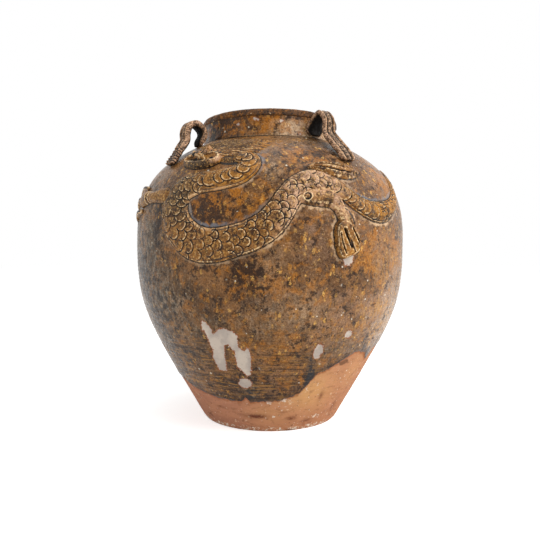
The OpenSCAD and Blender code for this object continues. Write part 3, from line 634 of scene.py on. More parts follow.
def earFinish():
    f = Finish("earGlaze")
    c = earColours
    colour, middle, fine = glazeTone(f)
    colour = f.blend(f.between(middle, 0.44, 0.56, 0.7, 0.25), colour, c["body"])
    colour = f.blend(f.times(f.noted("pink"), f.between(fine, 0.44, 0.56, 0.9, 0.3)), colour, c["pink"])
    colour = f.blend(f.times(f.noted("olive"), f.between(middle, 0.44, 0.56, 0.9, 0.5)), colour, c["olive"])
    colour = f.blend(f.between(f.lumps(2.2, 4, 0.8), 0.48, 0.56, 0, 0.75), colour, c["fleck"])
    crackle = f.lumps(3.0, 4, 0.75, f.stretched(1, 1, 1.5, (0.2, 0.5, 0.4)))
    colour = f.blend(f.between(crackle, 0.49, 0.535, 0, 0.88), colour, c["crackle"])
    # pale ridges with a painted highlight, then dark furrows and painted shade under the strap
    colour = f.blend(f.between(f.frayed(f.noted("rise"), fine, 3.0), 0.5, 0.95, 0, 0.75), colour, c["paleRidgeAndHighlight"])
    colour = f.blend(f.between(f.frayed(f.noted("poolAndShade"), fine, 1.0), 0.25, 0.7, 0, 0.95), colour, c["poolAndShade"])
    # painted shadow under the strap
    hollowShadow = f.noted("hollowShadow")
    colour = f.blend(f.times(hollowShadow, f.between(middle, 0.42, 0.56, 0.75, 1.0)), colour, c["hollowShadow"])
    bump = f.uneven(f.lumps(3.2, 4, 0.65), 1.3, 0.8)
    bump = f.uneven(f.lumps(0.9, 4, 0.65), 0.3, 0.7, bump)
    gloss = f.between(f.lumps(4, 4), 0.4, 0.6, 0.28, 0.5)
    return f.done(colour, f.maths("ADD", gloss, f.times(hollowShadow, 0.4)), bump, 0.16)


def clayFinish():
    f = Finish("bareClay")
    c = clayColours
    colour = f.blend(f.between(f.lumps(38, 4), 0.42, 0.6), c["body"], c["flashed"])
    colour = f.blend(f.between(f.lumps(1.4, 4, 0.8), 0.56, 0.72, 0, 0.5), colour, c["edge"])
    colour = f.blend(f.between(f.lumps(9, 5, 0.7), 0.55, 0.75, 0, 0.6), colour, c["soil"])
    bump = f.uneven(f.lumps(2.2, 4, 0.7), 0.5, 0.7)
    return f.done(colour, f.between(f.lumps(8, 3), 0.3, 0.7, 0.75, 0.92), bump, 0.3)


lipColours = {"body": "#4a2f17", "warm": "#70471f", "dark": "#241810", "amber": "#9a6228",
              "worn": "#caa882"}
insideColours = {"body": "#7a5436", "warm": "#8f6a48", "dark": "#5b3d27"}


def lipFinish():
    f = Finish("wornLip")
    c = lipColours
    colour = f.blend(f.between(f.lumps(12, 4), 0.44, 0.56), c["body"], c["warm"])
    colour = f.blend(f.between(f.lumps(2.6, 5, 0.75), 0.47, 0.58, 0, 0.9), colour, c["dark"])
    colour = f.blend(f.between(f.lumps(4.1, 5, 0.8), 0.53, 0.62, 0, 0.8), colour, c["amber"])
    colour = f.blend(f.times(f.spots(3.6, 0.3, 0.3), 0.8), colour, c["worn"])
    bump = f.uneven(f.lumps(2.6, 4, 0.7), 1.6, 1.0)
    return f.done(colour, f.between(f.lumps(5, 4), 0.4, 0.6, 0.4, 0.75), bump, 0.22)


def insideFinish():
    f = Finish("innerWall")
    c = insideColours
    colour = f.blend(f.between(f.lumps(60, 4), 0.4, 0.6), c["body"], c["warm"])
    colour = f.blend(f.between(f.lumps(3, 5, 0.7), 0.55, 0.72, 0, 0.6), colour, c["dark"])
    bump = f.uneven(f.lumps(4, 4, 0.6), 0.6, 0.6)
    return f.done(colour, f.between(f.lumps(10, 3), 0.3, 0.7, 0.6, 0.8), bump, 0.35)


wallGlaze, dragonGlaze, earGlaze = wallFinish(), dragonFinish(), earFinish()
bareClay, wornLip, innerWall = clayFinish(), lipFinish(), insideFinish()
print("finishes ready")

# Where things lie on the dragon: azimuth in degrees, then mm down the wall, width and height in mm;
# the last value along the spine is a share of the relief
dragon = {"relief": 4.6, "edge": 1.3, "scaleGroove": 0.95, "scaleRidge": 0.5, "scaleSpacing": 0.29,
          "step": 0.68, "neckLength": 74}
spine = [[-15, 59, 14, 0.7], [-9.5, 64, 20, 0.9], [-8.2, 74, 22, 1], [-12, 85.5, 23, 1], [-20, 91, 23, 1],
         [-27.5, 93, 25, 1], [-34.5, 99.5, 31, 1], [-37, 111, 35, 1], [-37.3, 124, 36, 1],
         [-35, 138, 36, 1], [-30.5, 150, 36, 1], [-25, 156.5, 35, 1], [-19, 157, 33, 1],
         [-12.5, 153, 31, 1], [-6.5, 147.5, 30, 1], [-0.5, 137.5, 29, 1], [3.5, 124, 27, 1],
         [6.5, 111, 25, 1], [10, 99.5, 23.5, 1], [15, 92.5, 24, 1], [20, 93, 22, 1], [24.5, 98, 20, 1],
         [29, 106, 17, 0.9], [34, 115, 17, 0.9], [40, 121, 20, 0.9], [46.5, 122, 22, 0.9],
         [53, 117.5, 19, 0.8], [58, 110, 15, 0.7], [61.5, 101.5, 12.5, 0.6], [64, 92, 11, 0.5],
         [66.5, 82, 9, 0.45], [69.5, 72.5, 7, 0.4], [73, 64.5, 4, 0.35], [75, 61, 1.5, 0.32]]
headRolls = {
    "skull": [[-40.6, 57.5, 9, 2.4], [-39.4, 57.4, 15, 3], [-36.8, 57.4, 20, 3.4], [-33, 57.4, 24, 3.6],
              [-29, 57, 25, 3.6], [-25.4, 58, 23, 3.6], [-23.2, 59.5, 16, 3.4], [-21.8, 60, 9, 3]],
    "jaw": [[-40.8, 60.5, 5.4, 4.6], [-39.5, 65, 7, 5.8], [-36, 68.8, 7.6, 6.5], [-31.5, 70.6, 8, 6.8],
            [-27.2, 70.4, 7.6, 6.8], [-24, 68.6, 6.6, 6.8], [-22.3, 64.6, 5.2, 6.8],
            [-22.7, 60.4, 4.6, 6.8], [-24.6, 57, 4, 6.6], [-27.4, 56.4, 3.8, 6.4],
            [-29.7, 58.4, 3.8, 6.2], [-30.4, 61.6, 3.8, 5.6]],
    "brow": [[-30.2, 59, 3.6, 5.8], [-32.8, 56.6, 4.2, 6.2], [-36, 54.8, 4.6, 6], [-38.8, 55.8, 5, 5.4],
             [-40.6, 58.8, 5.2, 4.6]]}
eyeAt, hornAt, hipRingAt = (-26.2, 62.4), (-29.2, 50.5), (12.9, 110.6)
hollows = [(-36.9, 61.2, 3.9), (-32.9, 63.2, 3.4)]
headLumps = [(-38.6, 50.5, 3.4, 2.6), (-35.6, 47.5, 3.2, 2.4), (-34.4, 52.2, 3.0, 2.4),
             (-32.4, 47.4, 2.4, 1.8), (-31.4, 53.2, 2.6, 2.4), (-26.2, 52, 3.2, 2.0),
             (-23.8, 54.2, 2.4, 1.4), (-37.2, 53.6, 2.2, 1.8)]
headChip = (-39.4, 48)
maneOutline = [[-42, 24], [-37, 15], [-32.3, 11], [-19.5, 13.5], [-9.1, 18], [-2, 21.5], [1.2, 27],
               [0.2, 38], [-3.2, 48], [-5.6, 57], [-8, 62], [-12, 66], [-13, 70], [-15, 71.6], [-19, 71],
               [-22, 68], [-29.5, 58], [-38, 50], [-43, 38]]
maneRoll = [[-29, 50.5], [-25, 55], [-20.7, 58.5], [-15.6, 60.5], [-11, 59.5], [-6.6, 61.5]]
maneTip = [[-21, 73], [-17.5, 73.6], [-14, 71.8]]
foreleg = [[-44.4, 104, 17, 4.5], [-47, 104, 16, 5.2], [-51, 104.5, 13, 6.2], [-55.5, 104.5, 13.5, 6.5],
           [-60, 104.5, 18, 6.5], [-63.5, 105.5, 19, 5.8], [-65.2, 106.5, 11, 4.5]]
foreclaws = [
    [[-62.5, 92.3, 5, 4.5], [-66, 91.5, 6.5, 5.5], [-70, 93, 6.5, 5.2], [-73.5, 96.5, 5, 3.9],
     [-75, 99.5, 2, 2.6]],
    [[-67.5, 104, 5, 5.2], [-70, 104.5, 6.5, 5.5], [-73, 107, 6, 4.9], [-75, 111.5, 4.5, 3.9],
     [-75.5, 115, 2, 2.6]],
    [[-62.3, 118.8, 5, 4.5], [-65, 119.5, 6.5, 5.5], [-68, 122, 6, 4.9], [-69.5, 126, 4.5, 3.9],
     [-69.7, 129.5, 2, 2.6]]]
hindleg = [[11.2, 111.4, 9, 4.4], [13.4, 110.8, 14, 6.2], [17, 109.3, 19, 7], [20.2, 109.6, 19.5, 7],
           [23.0, 113, 17, 6.8], [24.9, 119, 13.5, 6.3], [25.8, 126, 10.5, 5.6], [26.2, 131, 10.5, 5.2],
           [26.7, 136, 11, 4.8]]
footOutline = [[24.4, 133.6], [23.2, 137.4], [22.8, 144.6], [23.2, 158.2], [24.1, 166], [25, 169.6],
               [26.6, 170.8], [28.2, 169.2], [30.4, 167.2], [32.2, 164], [33.1, 159], [33.1, 152.4],
               [32.2, 146], [30, 137.6], [28.2, 132.8], [26.3, 131.6]]
footSlots = [([[26.2, 141.5], [27.1, 147.5], [29.2, 159]], 1.2, 4.4),
             ([[29.6, 140], [31.1, 147], [32.5, 155]], 1.0, 4.0),
             ([[24.5, 145], [25.3, 155], [26.8, 165]], 0.6, 2.4),
             ([[28.8, 152], [29.8, 159], [30.5, 163.5]], 0.6, 1.8)]
toes = [[[25.0 + i * 3.0, 149, 6, 5], [26.0 + i * 2.8, 158 - e * 0.5, 8, 5.9],
         [26.9 + i * 2.6, 166 - e * 0.7, 6, 5.4]] for i, e in enumerate([0, 2, 5.5])]
spur = [[25.8, 119.5, 2.5, 4.2], [27.6, 123.5, 8, 6.6], [29.1, 129.5, 10, 7.0], [30.1, 136, 7.5, 6.2],
        [30.8, 140, 2.5, 4.4]]
farPaw = [[15.2, 76, 3, 2.6], [18, 75, 9, 3.9], [22, 75.2, 15, 4.9], [26, 76.6, 19, 5.2],
          [30, 78, 20.5, 5.0], [33.4, 78.4, 19, 4.6], [35.6, 78.6, 14, 3.4]]


def dragonGap(azimuth, down):
    # mm from the nearest edge of the applied clay, for the painted shade, slate pools and halos round it
    gap = np.full(azimuth.shape, 60.0)
    rolls = [(headRolls["skull"], 3), (headRolls["jaw"], 3), (foreleg, 3), (hindleg, 3), (farPaw, 3),
             (spine, 4)]
    for path, steps in rolls + [(p, 2) for p in [spur] + foreclaws + toes]:
        a, d = np.array(path)[:, 0], np.array(path)[:, 1]
        near = (azimuth > a.min() - 16) & (azimuth < a.max() + 16)
        near &= (down > d.min() - 34) & (down < d.max() + 34)
        toMiddle, _, (width, _) = fromLine(azimuth[near], down[near], path, steps)
        gap[near] = np.minimum(gap[near], toMiddle - width / 2)
    gap = np.minimum(gap, -insidePatch(azimuth, down, footOutline))
    mane = -insidePatch(azimuth, down, maneOutline)
    return np.minimum(gap, np.where(down > 58, mane, np.maximum(mane, 4.5)))  # no painted shade, slate or halo round the mane's top


# The thrown wall, sizes in mm, and the marks on it
thrown = {"ringSpacing": 4.4, "ringHeight": 0.2, "grain": 0.16, "glazeStep": 0.5, "glazeBead": 0.35,
          "lossDepth": 0.45, "innerSpacing": 9, "innerRings": 0.35}
marks = {
    "glazeLine": [[-180, 326], [-160, 333], [-140, 322], [-120, 336], [-100, 330], [-85, 318], [-62, 323],
                  [-51, 331], [-35, 337], [-17, 339], [-14.5, 333], [-13.6, 332], [-12, 338], [-6, 337],
                  [5, 336], [16, 328], [20, 315], [24, 301], [30, 296], [35, 289], [43, 278], [47, 278],
                  [53, 283], [59, 294], [63, 279], [72, 276], [90, 285], [110, 300], [125, 318],
                  [150, 312], [180, 326]],
    "lost": [
        [[26.2, 168], [31.6, 165.4], [31, 172], [29.2, 177.6], [28.2, 177.8], [27.2, 174]],
        [[-27, 234], [-24, 241], [-23, 251], [-21, 244], [-18, 242], [-13, 248], [-13, 263], [-11, 269],
         [-9, 264], [-8, 275], [-9, 298], [-11, 300], [-15, 289], [-15, 270], [-17, 261], [-19, 262],
         [-20, 273], [-21, 295], [-25, 295], [-26, 283], [-26, 276], [-25, 272], [-26, 256], [-28, 242]],
        [[-16, 311], [-14.8, 306], [-12.5, 304], [-10, 306.5], [-9, 311], [-10, 316], [-12.6, 318],
         [-15, 316]],
        [[19, 268], [20, 262], [21.4, 260], [23, 265], [23.4, 273], [22, 279], [20.4, 280], [19, 275]],
        [[32.2, 252], [33.2, 248], [34.8, 247.6], [36, 251], [35.4, 256], [33.6, 256.6]],
        [[-128, 250], [-122, 243], [-117, 252], [-119, 268], [-125, 272], [-129, 262]],
        [[142, 262], [148, 258], [151, 268], [147, 280], [143, 274]]],
    # azimuth, down, reach round, reach down, weight
    "amber": [[40, 150, 30, 16, 0.5], [36, 176, 20, 14, 0.5], [16, 136, 14, 14, 0.35],
              [58, 88, 34, 24, 0.8], [14, 56, 26, 16, 0.5], [38, 168, 14, 26, 0.6],
              [58, 170, 20, 30, 0.5], [-30, 226, 30, 12, 0.4], [-20, 118, 30, 24, 0.9],
              [-2, 205, 60, 38, 0.35], [5, 262, 40, 34, 0.45], [-8, 60, 34, 22, 0.4],
              [16, 290, 36, 26, 0.35], [-44, 178, 26, 24, 0.25], [44, 200, 26, 60, 0.3],
              [-6, 118, 26, 22, 0.35], [150, 180, 60, 60, 0.4], [-120, 150, 60, 50, 0.3]],
    "grey": [[-11, 320, 10, 16, 1.0], [21, 292, 8, 18, 0.7], [-46, 218, 42, 44, 1.0],
             [-52, 160, 26, 60, 1.0], [-30, 240, 34, 24, 0.6], [-76, 150, 44, 56, 1.0],
             [-84, 215, 56, 70, 1.0], [-60, 200, 34, 70, 1.0], [-58, 262, 40, 50, 0.85],
             [-56, 86, 24, 24, 0.6], [-12, 40, 30, 14, 0.5], [-2, 232, 30, 26, 0.45],
             [30, 268, 40, 16, 0.5], [-40, 205, 30, 22, 0.5], [-36, 262, 26, 34, 0.45],
             [20, 20, 30, 18, 0.4], [-100, 220, 60, 70, 0.6], [100, 120, 50, 50, 0.4]],
    "violet": [[50, 225, 66, 84, 1.0], [14, 150, 26, 30, 0.6], [26, 235, 40, 44, 0.7],
               [56, 90, 44, 40, 0.7], [2, 218, 22, 26, 0.6], [14, 30, 30, 26, 0.5], [36, 46, 26, 22, 0.6],
               [-2, 300, 34, 26, 0.45], [84, 200, 60, 90, 0.7], [-10, 150, 30, 20, 0.3],
               [170, 90, 60, 50, 0.4]],
    # dark glaze patches, with painted shade inside the dragon's curl and on the wall left of it
    "darkGlazeAndShade": [[30, 190, 20, 34, 0.5], [66, 140, 24, 24, 0.4], [-47, 128, 9, 40, 1.3],
             [-52, 236, 44, 40, 0.8], [-10, 300, 50, 18, 0.35], [24, 56, 26, 18, 0.8],
             [20.5, 309, 6, 11, 2.2], [56, 288, 5, 10, 1.8], [-22, 124, 28, 18, 1.4],
             [-8, 186, 26, 24, 1.0], [-24, 178, 26, 12, 0.8], [-62, 190, 34, 60, 0.9],
             [-50, 280, 44, 44, 0.7], [-14, 310, 60, 22, 0.7], [6, 80, 24, 22, 0.5],
             [-52, 108, 18, 18, 0.7], [50, 268, 16, 20, 0.5], [-100, 200, 60, 80, 0.7],
             [16, 262, 14, 30, 0.5], [-30, 215, 30, 16, 0.4], [130, 240, 60, 60, 0.5]],
    "flash": [[22, 326, 34, 30, 1.0], [50, 306, 16, 26, 0.5], [-6, 356, 40, 16, 0.5],
              [110, 330, 50, 20, 0.7], [-150, 352, 60, 16, 0.6]],
    "pale": [[1, 78, 9, 12, 0.85], [12, 226, 26, 20, 0.45], [62, 240, 34, 44, 0.7], [0, 176, 16, 20, 0.3],
             [74, 160, 24, 60, 0.4], [-130, 90, 30, 30, 0.5], [160, 200, 50, 50, 0.4]],
    "halo": [[15, 122, 22, 12, 1.0], [22, 150, 12, 30, 0.9], [46, 140, 40, 16, 1.0],
             [2, 150, 16, 30, 0.9], [24, 92, 26, 8, 0.7], [-8, 92, 20, 12, 0.6], [-33, 118, 10, 22, 0.9],
             [-20, 170, 40, 14, 0.5], [60, 120, 24, 30, 0.6]],
    "lime": [[-0.5, 338, 3, 3, 1.0], [7.5, 335, 6, 4, 1.0], [-27, 336, 3, 2, 0.5], [20, 320, 3, 2, 0.6],
             [2, 360, 2, 2, 0.9], [33, 366, 9, 3, 0.6], [-110, 344, 6, 2, 0.7], [160, 338, 7, 2, 0.7]],
    "smudge": [[-9, 360, 12, 3.2, 1.3], [15, 364, 5, 3, 1.0], [-19, 359, 5, 2, 0.5], [32, 335, 3, 7, 0.8],
               [50, 358, 4, 9, 0.6], [27, 371.5, 7, 2.6, 0.7], [-34, 352, 9, 2, 0.4],
               [-130, 356, 12, 3, 0.8], [130, 350, 4, 9, 0.7], [-75, 346, 3, 8, 0.6]],
    "slate": [[-22, 138, 26, 9, 1.0], [-29, 128, 8, 16, 0.8], [-1, 64, 14, 22, 0.9],
              [40, 108, 22, 12, 1.0], [54, 104, 18, 16, 0.9], [-6, 120, 14, 20, 0.5]],
    "drip": [[20.3, 308, 5, 14, 1.5], [-10, 326, 8, 13, 0.62], [38, 296, 6, 6, 1.2], [33, 301, 5, 5, 1.0],
             [19.4, 288, 6, 20, 0.75], [56.5, 290, 4, 8, 1.3], [-12, 331, 9, 6, 1.0],
             [-10.5, 318, 9, 9, 0.6], [37, 284, 18, 4, 0.6], [-120, 330, 14, 8, 0.8],
             [150, 306, 6, 12, 1.1], [100, 286, 6, 12, 0.8]],
    # painted shadow on the shoulder under each ear
    "hollowShadow": [[37, 6, 8, 16, 1.0], [127, 6, 8, 16, 1.0], [-143, 6, 8, 16, 1.0], [-53, 40, 8, 9, 0.7]],
    "streak": [[54, 235, 46, 70, 1.0], [36, 200, 26, 50, 0.5], [80, 230, 50, 70, 0.8],
               [-130, 240, 50, 60, 0.6]],
    # azimuth, down, lean in degrees, width, length, depth
    "fingers": [[32, 336, 34, 9, 12, 0.9], [50, 358, 40, 8, 20, 0.9], [27, 371, 30, 7, 12, 0.7],
                [-96, 350, 20, 9, 22, 0.8], [140, 352, 30, 8, 20, 0.8]]}


def roundFrom(azimuth, middle):  # degrees from the middle, the shorter way round
    return (azimuth - middle + 180) % 360 - 180


def soft(azimuth, down, blobs):  # soft-edged patches, each fading from its middle
    total = np.zeros(azimuth.shape)
    for a, d, across, along, weight in blobs:
        dx = roundFrom(azimuth, a) * degreeWidth((down + d) / 2)
        total = np.maximum(total, weight * np.exp(-(dx / across) ** 2 - ((down - d) / along) ** 2))
    return total


def wallNotes(p):
    # azimuth from the photo's middle and distance down the wall of each vertex
    return roundFrom(np.degrees(np.arctan2(p[:, 0], -p[:, 1])), view["turn"]), downAt(p[:, 2])


def settleOuter(azimuth, down, p):
    # what the wall's outside does off its true profile, in mm along the normal, and its notes
    line = np.interp(azimuth, *zip(*marks["glazeLine"]))
    glaze = np.clip(line - down, -30, 30)
    loss = np.full(azimuth.shape, -30.0)
    for patch in marks["lost"]:
        loss = np.maximum(loss, insidePatch(azimuth, down, patch))
    front = dragonGap(azimuth, down)
    back = dragonGap((azimuth + 360) % 360 - 180, down)
    near = np.minimum(front, back)
    ringShare = smooth(down, 60, 210)
    bandShare = smooth(down, 225, 285)
    bandShare = bandShare * (1 - 0.75 * smooth(azimuth, 10, 40)) * (1 - 0.5 * smooth(azimuth, -100, -140))
    wave = np.sin(2 * np.pi * (down / thrown["ringSpacing"] + 0.5 * softNoise(p, 60, 11)))
    rings = wave * (0.7 + 0.5 * softNoise(p * [1, 1, 3], 30, 12))
    off = wallSwell(p) + thrown["ringHeight"] * rings * ringShare + thrown["grain"] * softNoise(p, 12, 5)
    # the glaze is a thin coat that ends in a bead
    off += thrown["glazeStep"] * smooth(glaze, -0.3, 1.6) + thrown["glazeBead"] * bell(glaze - 1.8, 1.5)
    off -= thrown["glazeStep"] + thrown["lossDepth"] * smooth(loss, -0.6, 0.6)
    for a, d, lean, narrow, long, depth in marks["fingers"]:
        dx = roundFrom(azimuth, a) * degreeWidth(down)
        dy = down - d
        c, s = math.cos(math.radians(lean)), math.sin(math.radians(lean))
        u, v = dx * c + dy * s, dy * c - dx * s
        off -= depth * np.exp(-(u / narrow) ** 2 - (v / long) ** 2)
    off += 0.5 * bell(np.maximum(near, 0), 3)  # slip smeared against the applied clay
    near = np.minimum(near, 0.1 + 0.32 * down + 0.5 * softNoise(p, 9, 14))  # and the crease under the neck, which gets the same painted shade
    notes = {"glaze": glaze, "loss": loss, "near": np.clip(near, 0, 30),
             "rings": bandShare * (0.4 + 0.6 * wave)}
    for key in ("amber", "grey", "violet", "pale", "halo", "slate", "drip", "lime", "smudge", "hollowShadow",
                "streak", "darkGlazeAndShade", "flash"):
        notes[key] = soft(azimuth, down, marks[key])
    notes["lime"] = np.maximum(notes["lime"], 0.42 * smooth(down, 374, 380))
    notes["pinkClay"] = 0.8 * smooth(azimuth, 6, -30) * smooth(azimuth, -170, -90)
    return off, notes


def spinWall(name, profile, closed=True, steps=480):
    # a ring of points turned once round the jar's axis
    onlySelect(None)
    bpy.ops.mesh.primitive_circle_add(vertices=len(profile), fill_type="NOTHING")
    piece = bpy.context.object
    piece.name = piece.data.name = name
    ring = np.array(profile, float)
    putPlaces(piece, np.stack([0 * ring[:, 0], -ring[:, 0], ring[:, 1]], 1))
    bpy.ops.object.mode_set(mode="EDIT")
    if not closed:
        bpy.ops.mesh.select_all(action="DESELECT")
        bpy.ops.object.mode_set(mode="OBJECT")
        for edge in piece.data.edges:
            edge.select = set(edge.vertices) == {0, len(profile) - 1}
        bpy.ops.object.mode_set(mode="EDIT")
        bpy.ops.mesh.select_mode(type="EDGE")
        bpy.ops.mesh.delete(type="EDGE")
    bpy.ops.mesh.select_all(action="SELECT")
    bpy.ops.mesh.spin(steps=steps, angle=2 * math.pi, center=(0, 0, 0), axis=(0, 0, 1))
    bpy.ops.object.mode_set(mode="OBJECT")
    mergeDoubles(piece)
    return piece


def wallRows(fromDown, toDown, count, lift=0.0):
    d = np.linspace(fromDown, toDown, count)
    lean = np.interp(d, wallDown, wallLean)
    return np.stack([radiusAt(d) + lift * np.cos(lean), heightAt(d) + lift * np.sin(lean)], 1).tolist()


def weatherWall(piece):
    p = places(piece)
    azimuth, down = wallNotes(p)
    r = np.hypot(p[:, 0], p[:, 1])
    outer = (r > radiusAt(down) - 1) & (p[:, 2] < neckZ + 0.01)
    off, notes = settleOuter(azimuth, down, p)
    innerRings = thrown["innerRings"] * np.sin(p[:, 2] * 2 * np.pi / thrown["innerSpacing"])
    off = np.where(outer, off, innerRings + 0.5 * softNoise(p, 40, 8))
    lean = np.interp(down, wallDown, wallLean)
    direction = np.stack([np.cos(lean) * p[:, 0] / (r + 1e-6), np.cos(lean) * p[:, 1] / (r + 1e-6),
                          np.sin(lean)], 1)
    still = np.where(r < 60, 0, 1) * np.where(p[:, 2] < 0.5, 0, 1)  # the slab and the underside stay flat
    putPlaces(piece, p + direction * (off * still)[:, None])
    for key, values in notes.items():
        note(piece, key, values)


seamDown = float(downAt(jar["bellyHeight"]))
ledgeZ = jar["slab"] - jar["rebate"]
footDown, innerFoot = float(downAt(ledgeZ)), float(downAt(jar["slab"]))
boreRadius, seatRadius, seatZ = jar["mouthWidth"] / 2, jar["neckWidth"] / 2 - 5, neckZ - 2.5

upperProfile = wallRows(0, seamDown, 140) + wallRows(seamDown - 4, 13, 26, -jar["wall"]) \
    + [[boreRadius, neckZ - 8.5], [boreRadius, seatZ], [seatRadius, seatZ], [seatRadius, neckZ]]
upperWall = spinWall("upper_wall", upperProfile)
weatherWall(upperWall)
finishPiece(upperWall, wallGlaze, ["upper_body"], lining=innerWall)

lowerProfile = wallRows(seamDown, footDown, 170) + [[79.8, ledgeZ]] \
    + wallRows(innerFoot, seamDown - 4, 26, -jar["wall"])
lowerWall = spinWall("lower_wall", lowerProfile)
weatherWall(lowerWall)
finishPiece(lowerWall, wallGlaze, ["lower_body"], lining=innerWall)

baseProfile = [[0, 0], [20, 0], [40, 0], [60, 0], [76, 0], [81.5, 0.05], [82.7, 0.5]] \
    + wallRows(float(downAt(1.6)), footDown, 7) + [[79.6, ledgeZ]] \
    + [[r, jar["slab"]] for r in (79.6, 60, 40, 20, 0)]
base = spinWall("base", baseProfile, closed=False)
weatherWall(base)
finishPiece(base, wallGlaze, ["base_slab"], lining=bareClay)
print("wall turned")

# Neck and rolled lip; burrs and chips are azimuth, mm above the crease and radius
neckShape = {"degreeWidth": 1.46, "bend": 3.2, "burrs": [[-33, 1.5, 1.4], [-12, 2.2, 1.2], [4, 2.0, 2.0]],
             "chips": [[-26, 14, 1.5], [-12, 18.5, 2.0], [-10, 18, 1.4], [9, 16, 1.6], [24, 3, 1.6],
                       [-60, 15, 1.2], [100, 12, 2.0], [170, 8, 1.6]]}


def neckRadius(z):
    f = np.clip((np.asarray(z, float) - neckZ) / (lipZ - neckZ), 0, 1)
    return jar["neckWidth"] / 2 + (jar["neckTopWidth"] - jar["neckWidth"]) / 2 * f \
        - jar["neckWaist"] * np.sin(np.pi * f)


def neckProfile():
    rows = [[float(neckRadius(v)), float(v)] for v in np.linspace(neckZ, lipZ, 30)]
    bore = [[boreRadius, float(v)] for v in np.linspace(lipZ, seatZ, 14)[1:-1]]
    seat = [[boreRadius, seatZ], [seatRadius, seatZ], [seatRadius, neckZ]]
    return seat + rows + [[boreRadius, lipZ]] + bore


def lipProfile():
    outer, top, bend = jar["lipWidth"] / 2, jar["height"], neckShape["bend"]
    under = [[boreRadius + k * (jar["neckTopWidth"] / 2 - boreRadius) / 4, lipZ] for k in range(5)]
    side = [[outer, float(v)] for v in np.linspace(lipZ + 1.4, top - bend, 6)]
    corners = [(outer - bend, a) for a in range(10, 91, 10)]
    corners += [(boreRadius + bend, a) for a in range(90, 181, 10)]
    rounded = [[middle + bend * math.cos(math.radians(a)), top - bend + bend * math.sin(math.radians(a))]
               for middle, a in corners]
    bore = [[boreRadius, float(v)] for v in np.linspace(top - bend, lipZ, 5)[1:-1]]
    return under + [[outer - 0.5, lipZ + 0.5]] + side + rounded + bore


def weatherNeck(piece, amount, seed):  # wear in mm, chips and the notes of the neck or the lip
    p = places(piece)
    r, z = np.hypot(p[:, 0], p[:, 1]), p[:, 2]
    azimuth = wallNotes(p)[0]
    off = amount * softNoise(p, 9, seed) + 0.5 * amount * softNoise(p, 3.2, seed + 1)
    off += 0.35 * softNoise(p, 50, seed + 2)
    off += bell(z - neckZ, 2.0) * (0.35 * softNoise(p, 8, 41) - 0.2)
    for a, high, wide in neckShape["burrs"]:
        gap = np.hypot((azimuth - a) * neckShape["degreeWidth"], z - neckZ - high)
        off += 0.8 * bell(gap, wide)
    off = np.where(r > boreRadius + 3, off, 0.3 * off)
    up = np.where(z > jar["height"] - 0.6, 0.4 * amount * softNoise(p, 7, seed + 5), 0)
    putPlaces(piece, np.stack([p[:, 0] * (1 + off / r), p[:, 1] * (1 + off / r), z + np.minimum(up, 0)], 1))
    loss = np.full(len(p), -30.0)
    for a, high, wide in neckShape["chips"]:
        gap = np.hypot((azimuth - a) * neckShape["degreeWidth"], (z - neckZ - high) * 1.2)
        loss = np.maximum(loss, wide - gap)
    # the ears stand a quarter turn apart, with painted shadow under each where it leaves the neck
    besideEar = np.abs((azimuth - 37 + 45) % 90 - 45) * neckShape["degreeWidth"]
    # painted light: pale on the lit right side of the neck's upper part
    lit = smooth(azimuth, -6, 12) * smooth(azimuth, 70, 50)
    # painted shade under the lip and in the crease at the neck's foot, and darker on the left side
    notes = {"loss": loss, "glaze": np.full(len(p), 30.0), "near": 30 - 29.7 * bell(z - neckZ, 1.6),
             "amber": 0.85 * smooth(z, neckZ, neckZ + 4) * (0.7 + 0.3 * softNoise(p, 20, 31)),
             "darkGlazeAndShade": 0.1 + 0.9 * smooth(azimuth, -18, -40) + 0.6 * smooth(z, lipZ - 5, lipZ - 1),
             "violet": 0.9 * smooth(azimuth, 4, 30) * smooth(azimuth, 80, 60),
             "pale": 0.9 * lit * smooth(z, lipZ - 2, lipZ - 8), "halo": 0.8 * smooth(azimuth, -30, -10),
             "hollowShadow": bell(besideEar, 5.5) * smooth(z, lipZ - 4, lipZ - 10) * (azimuth > -100)}
    for key in ("grey", "streak", "pinkClay", "rings", "flash", "slate", "drip", "lime", "smudge"):
        notes[key] = np.zeros(len(p))
    for key, values in notes.items():
        note(piece, key, values)


neck = spinWall("neck", neckProfile(), steps=360)
weatherNeck(neck, 0.25, 21)
finishPiece(neck, wallGlaze, ["neck_collar"])
lip = spinWall("lip", lipProfile(), steps=420)
weatherNeck(lip, 0.45, 25)
finishPiece(lip, wornLip, ["lip_coil"])
print("neck and lip turned")

# Strap ears, sizes in mm
ears = {"width": 14, "thick": 6, "rise": 27.5, "drop": 63, "groove": 1.3, "press": 3, "root": 7,
        "lipClear": 3.5, "reach": 23, "leftRise": 19, "leftReach": 34.5, "leftSpan": 20, "leftThick": 7.5}


def besideWall(down, lift):
    lean = float(np.interp(down, wallDown, wallLean))
    return [float(radiusAt(down)) + lift * math.cos(lean), float(heightAt(down)) + lift * math.sin(lean)]


def tongueLine(thick):
    e = ears
    return [besideWall(e["drop"] - 15, thick / 2 + 2.4) + [e["width"] + e["press"] / 2, thick],
            besideWall(e["drop"] - 5, thick / 2 + 0.2) + [e["width"] + e["press"], thick],
            besideWall(e["drop"] - 1.2, thick / 2 - 0.2) + [e["width"] + e["press"] - 1, thick - 0.6],
            besideWall(e["drop"], thick / 2 - 0.6) + [e["width"] * 0.75, thick - 1.6]]


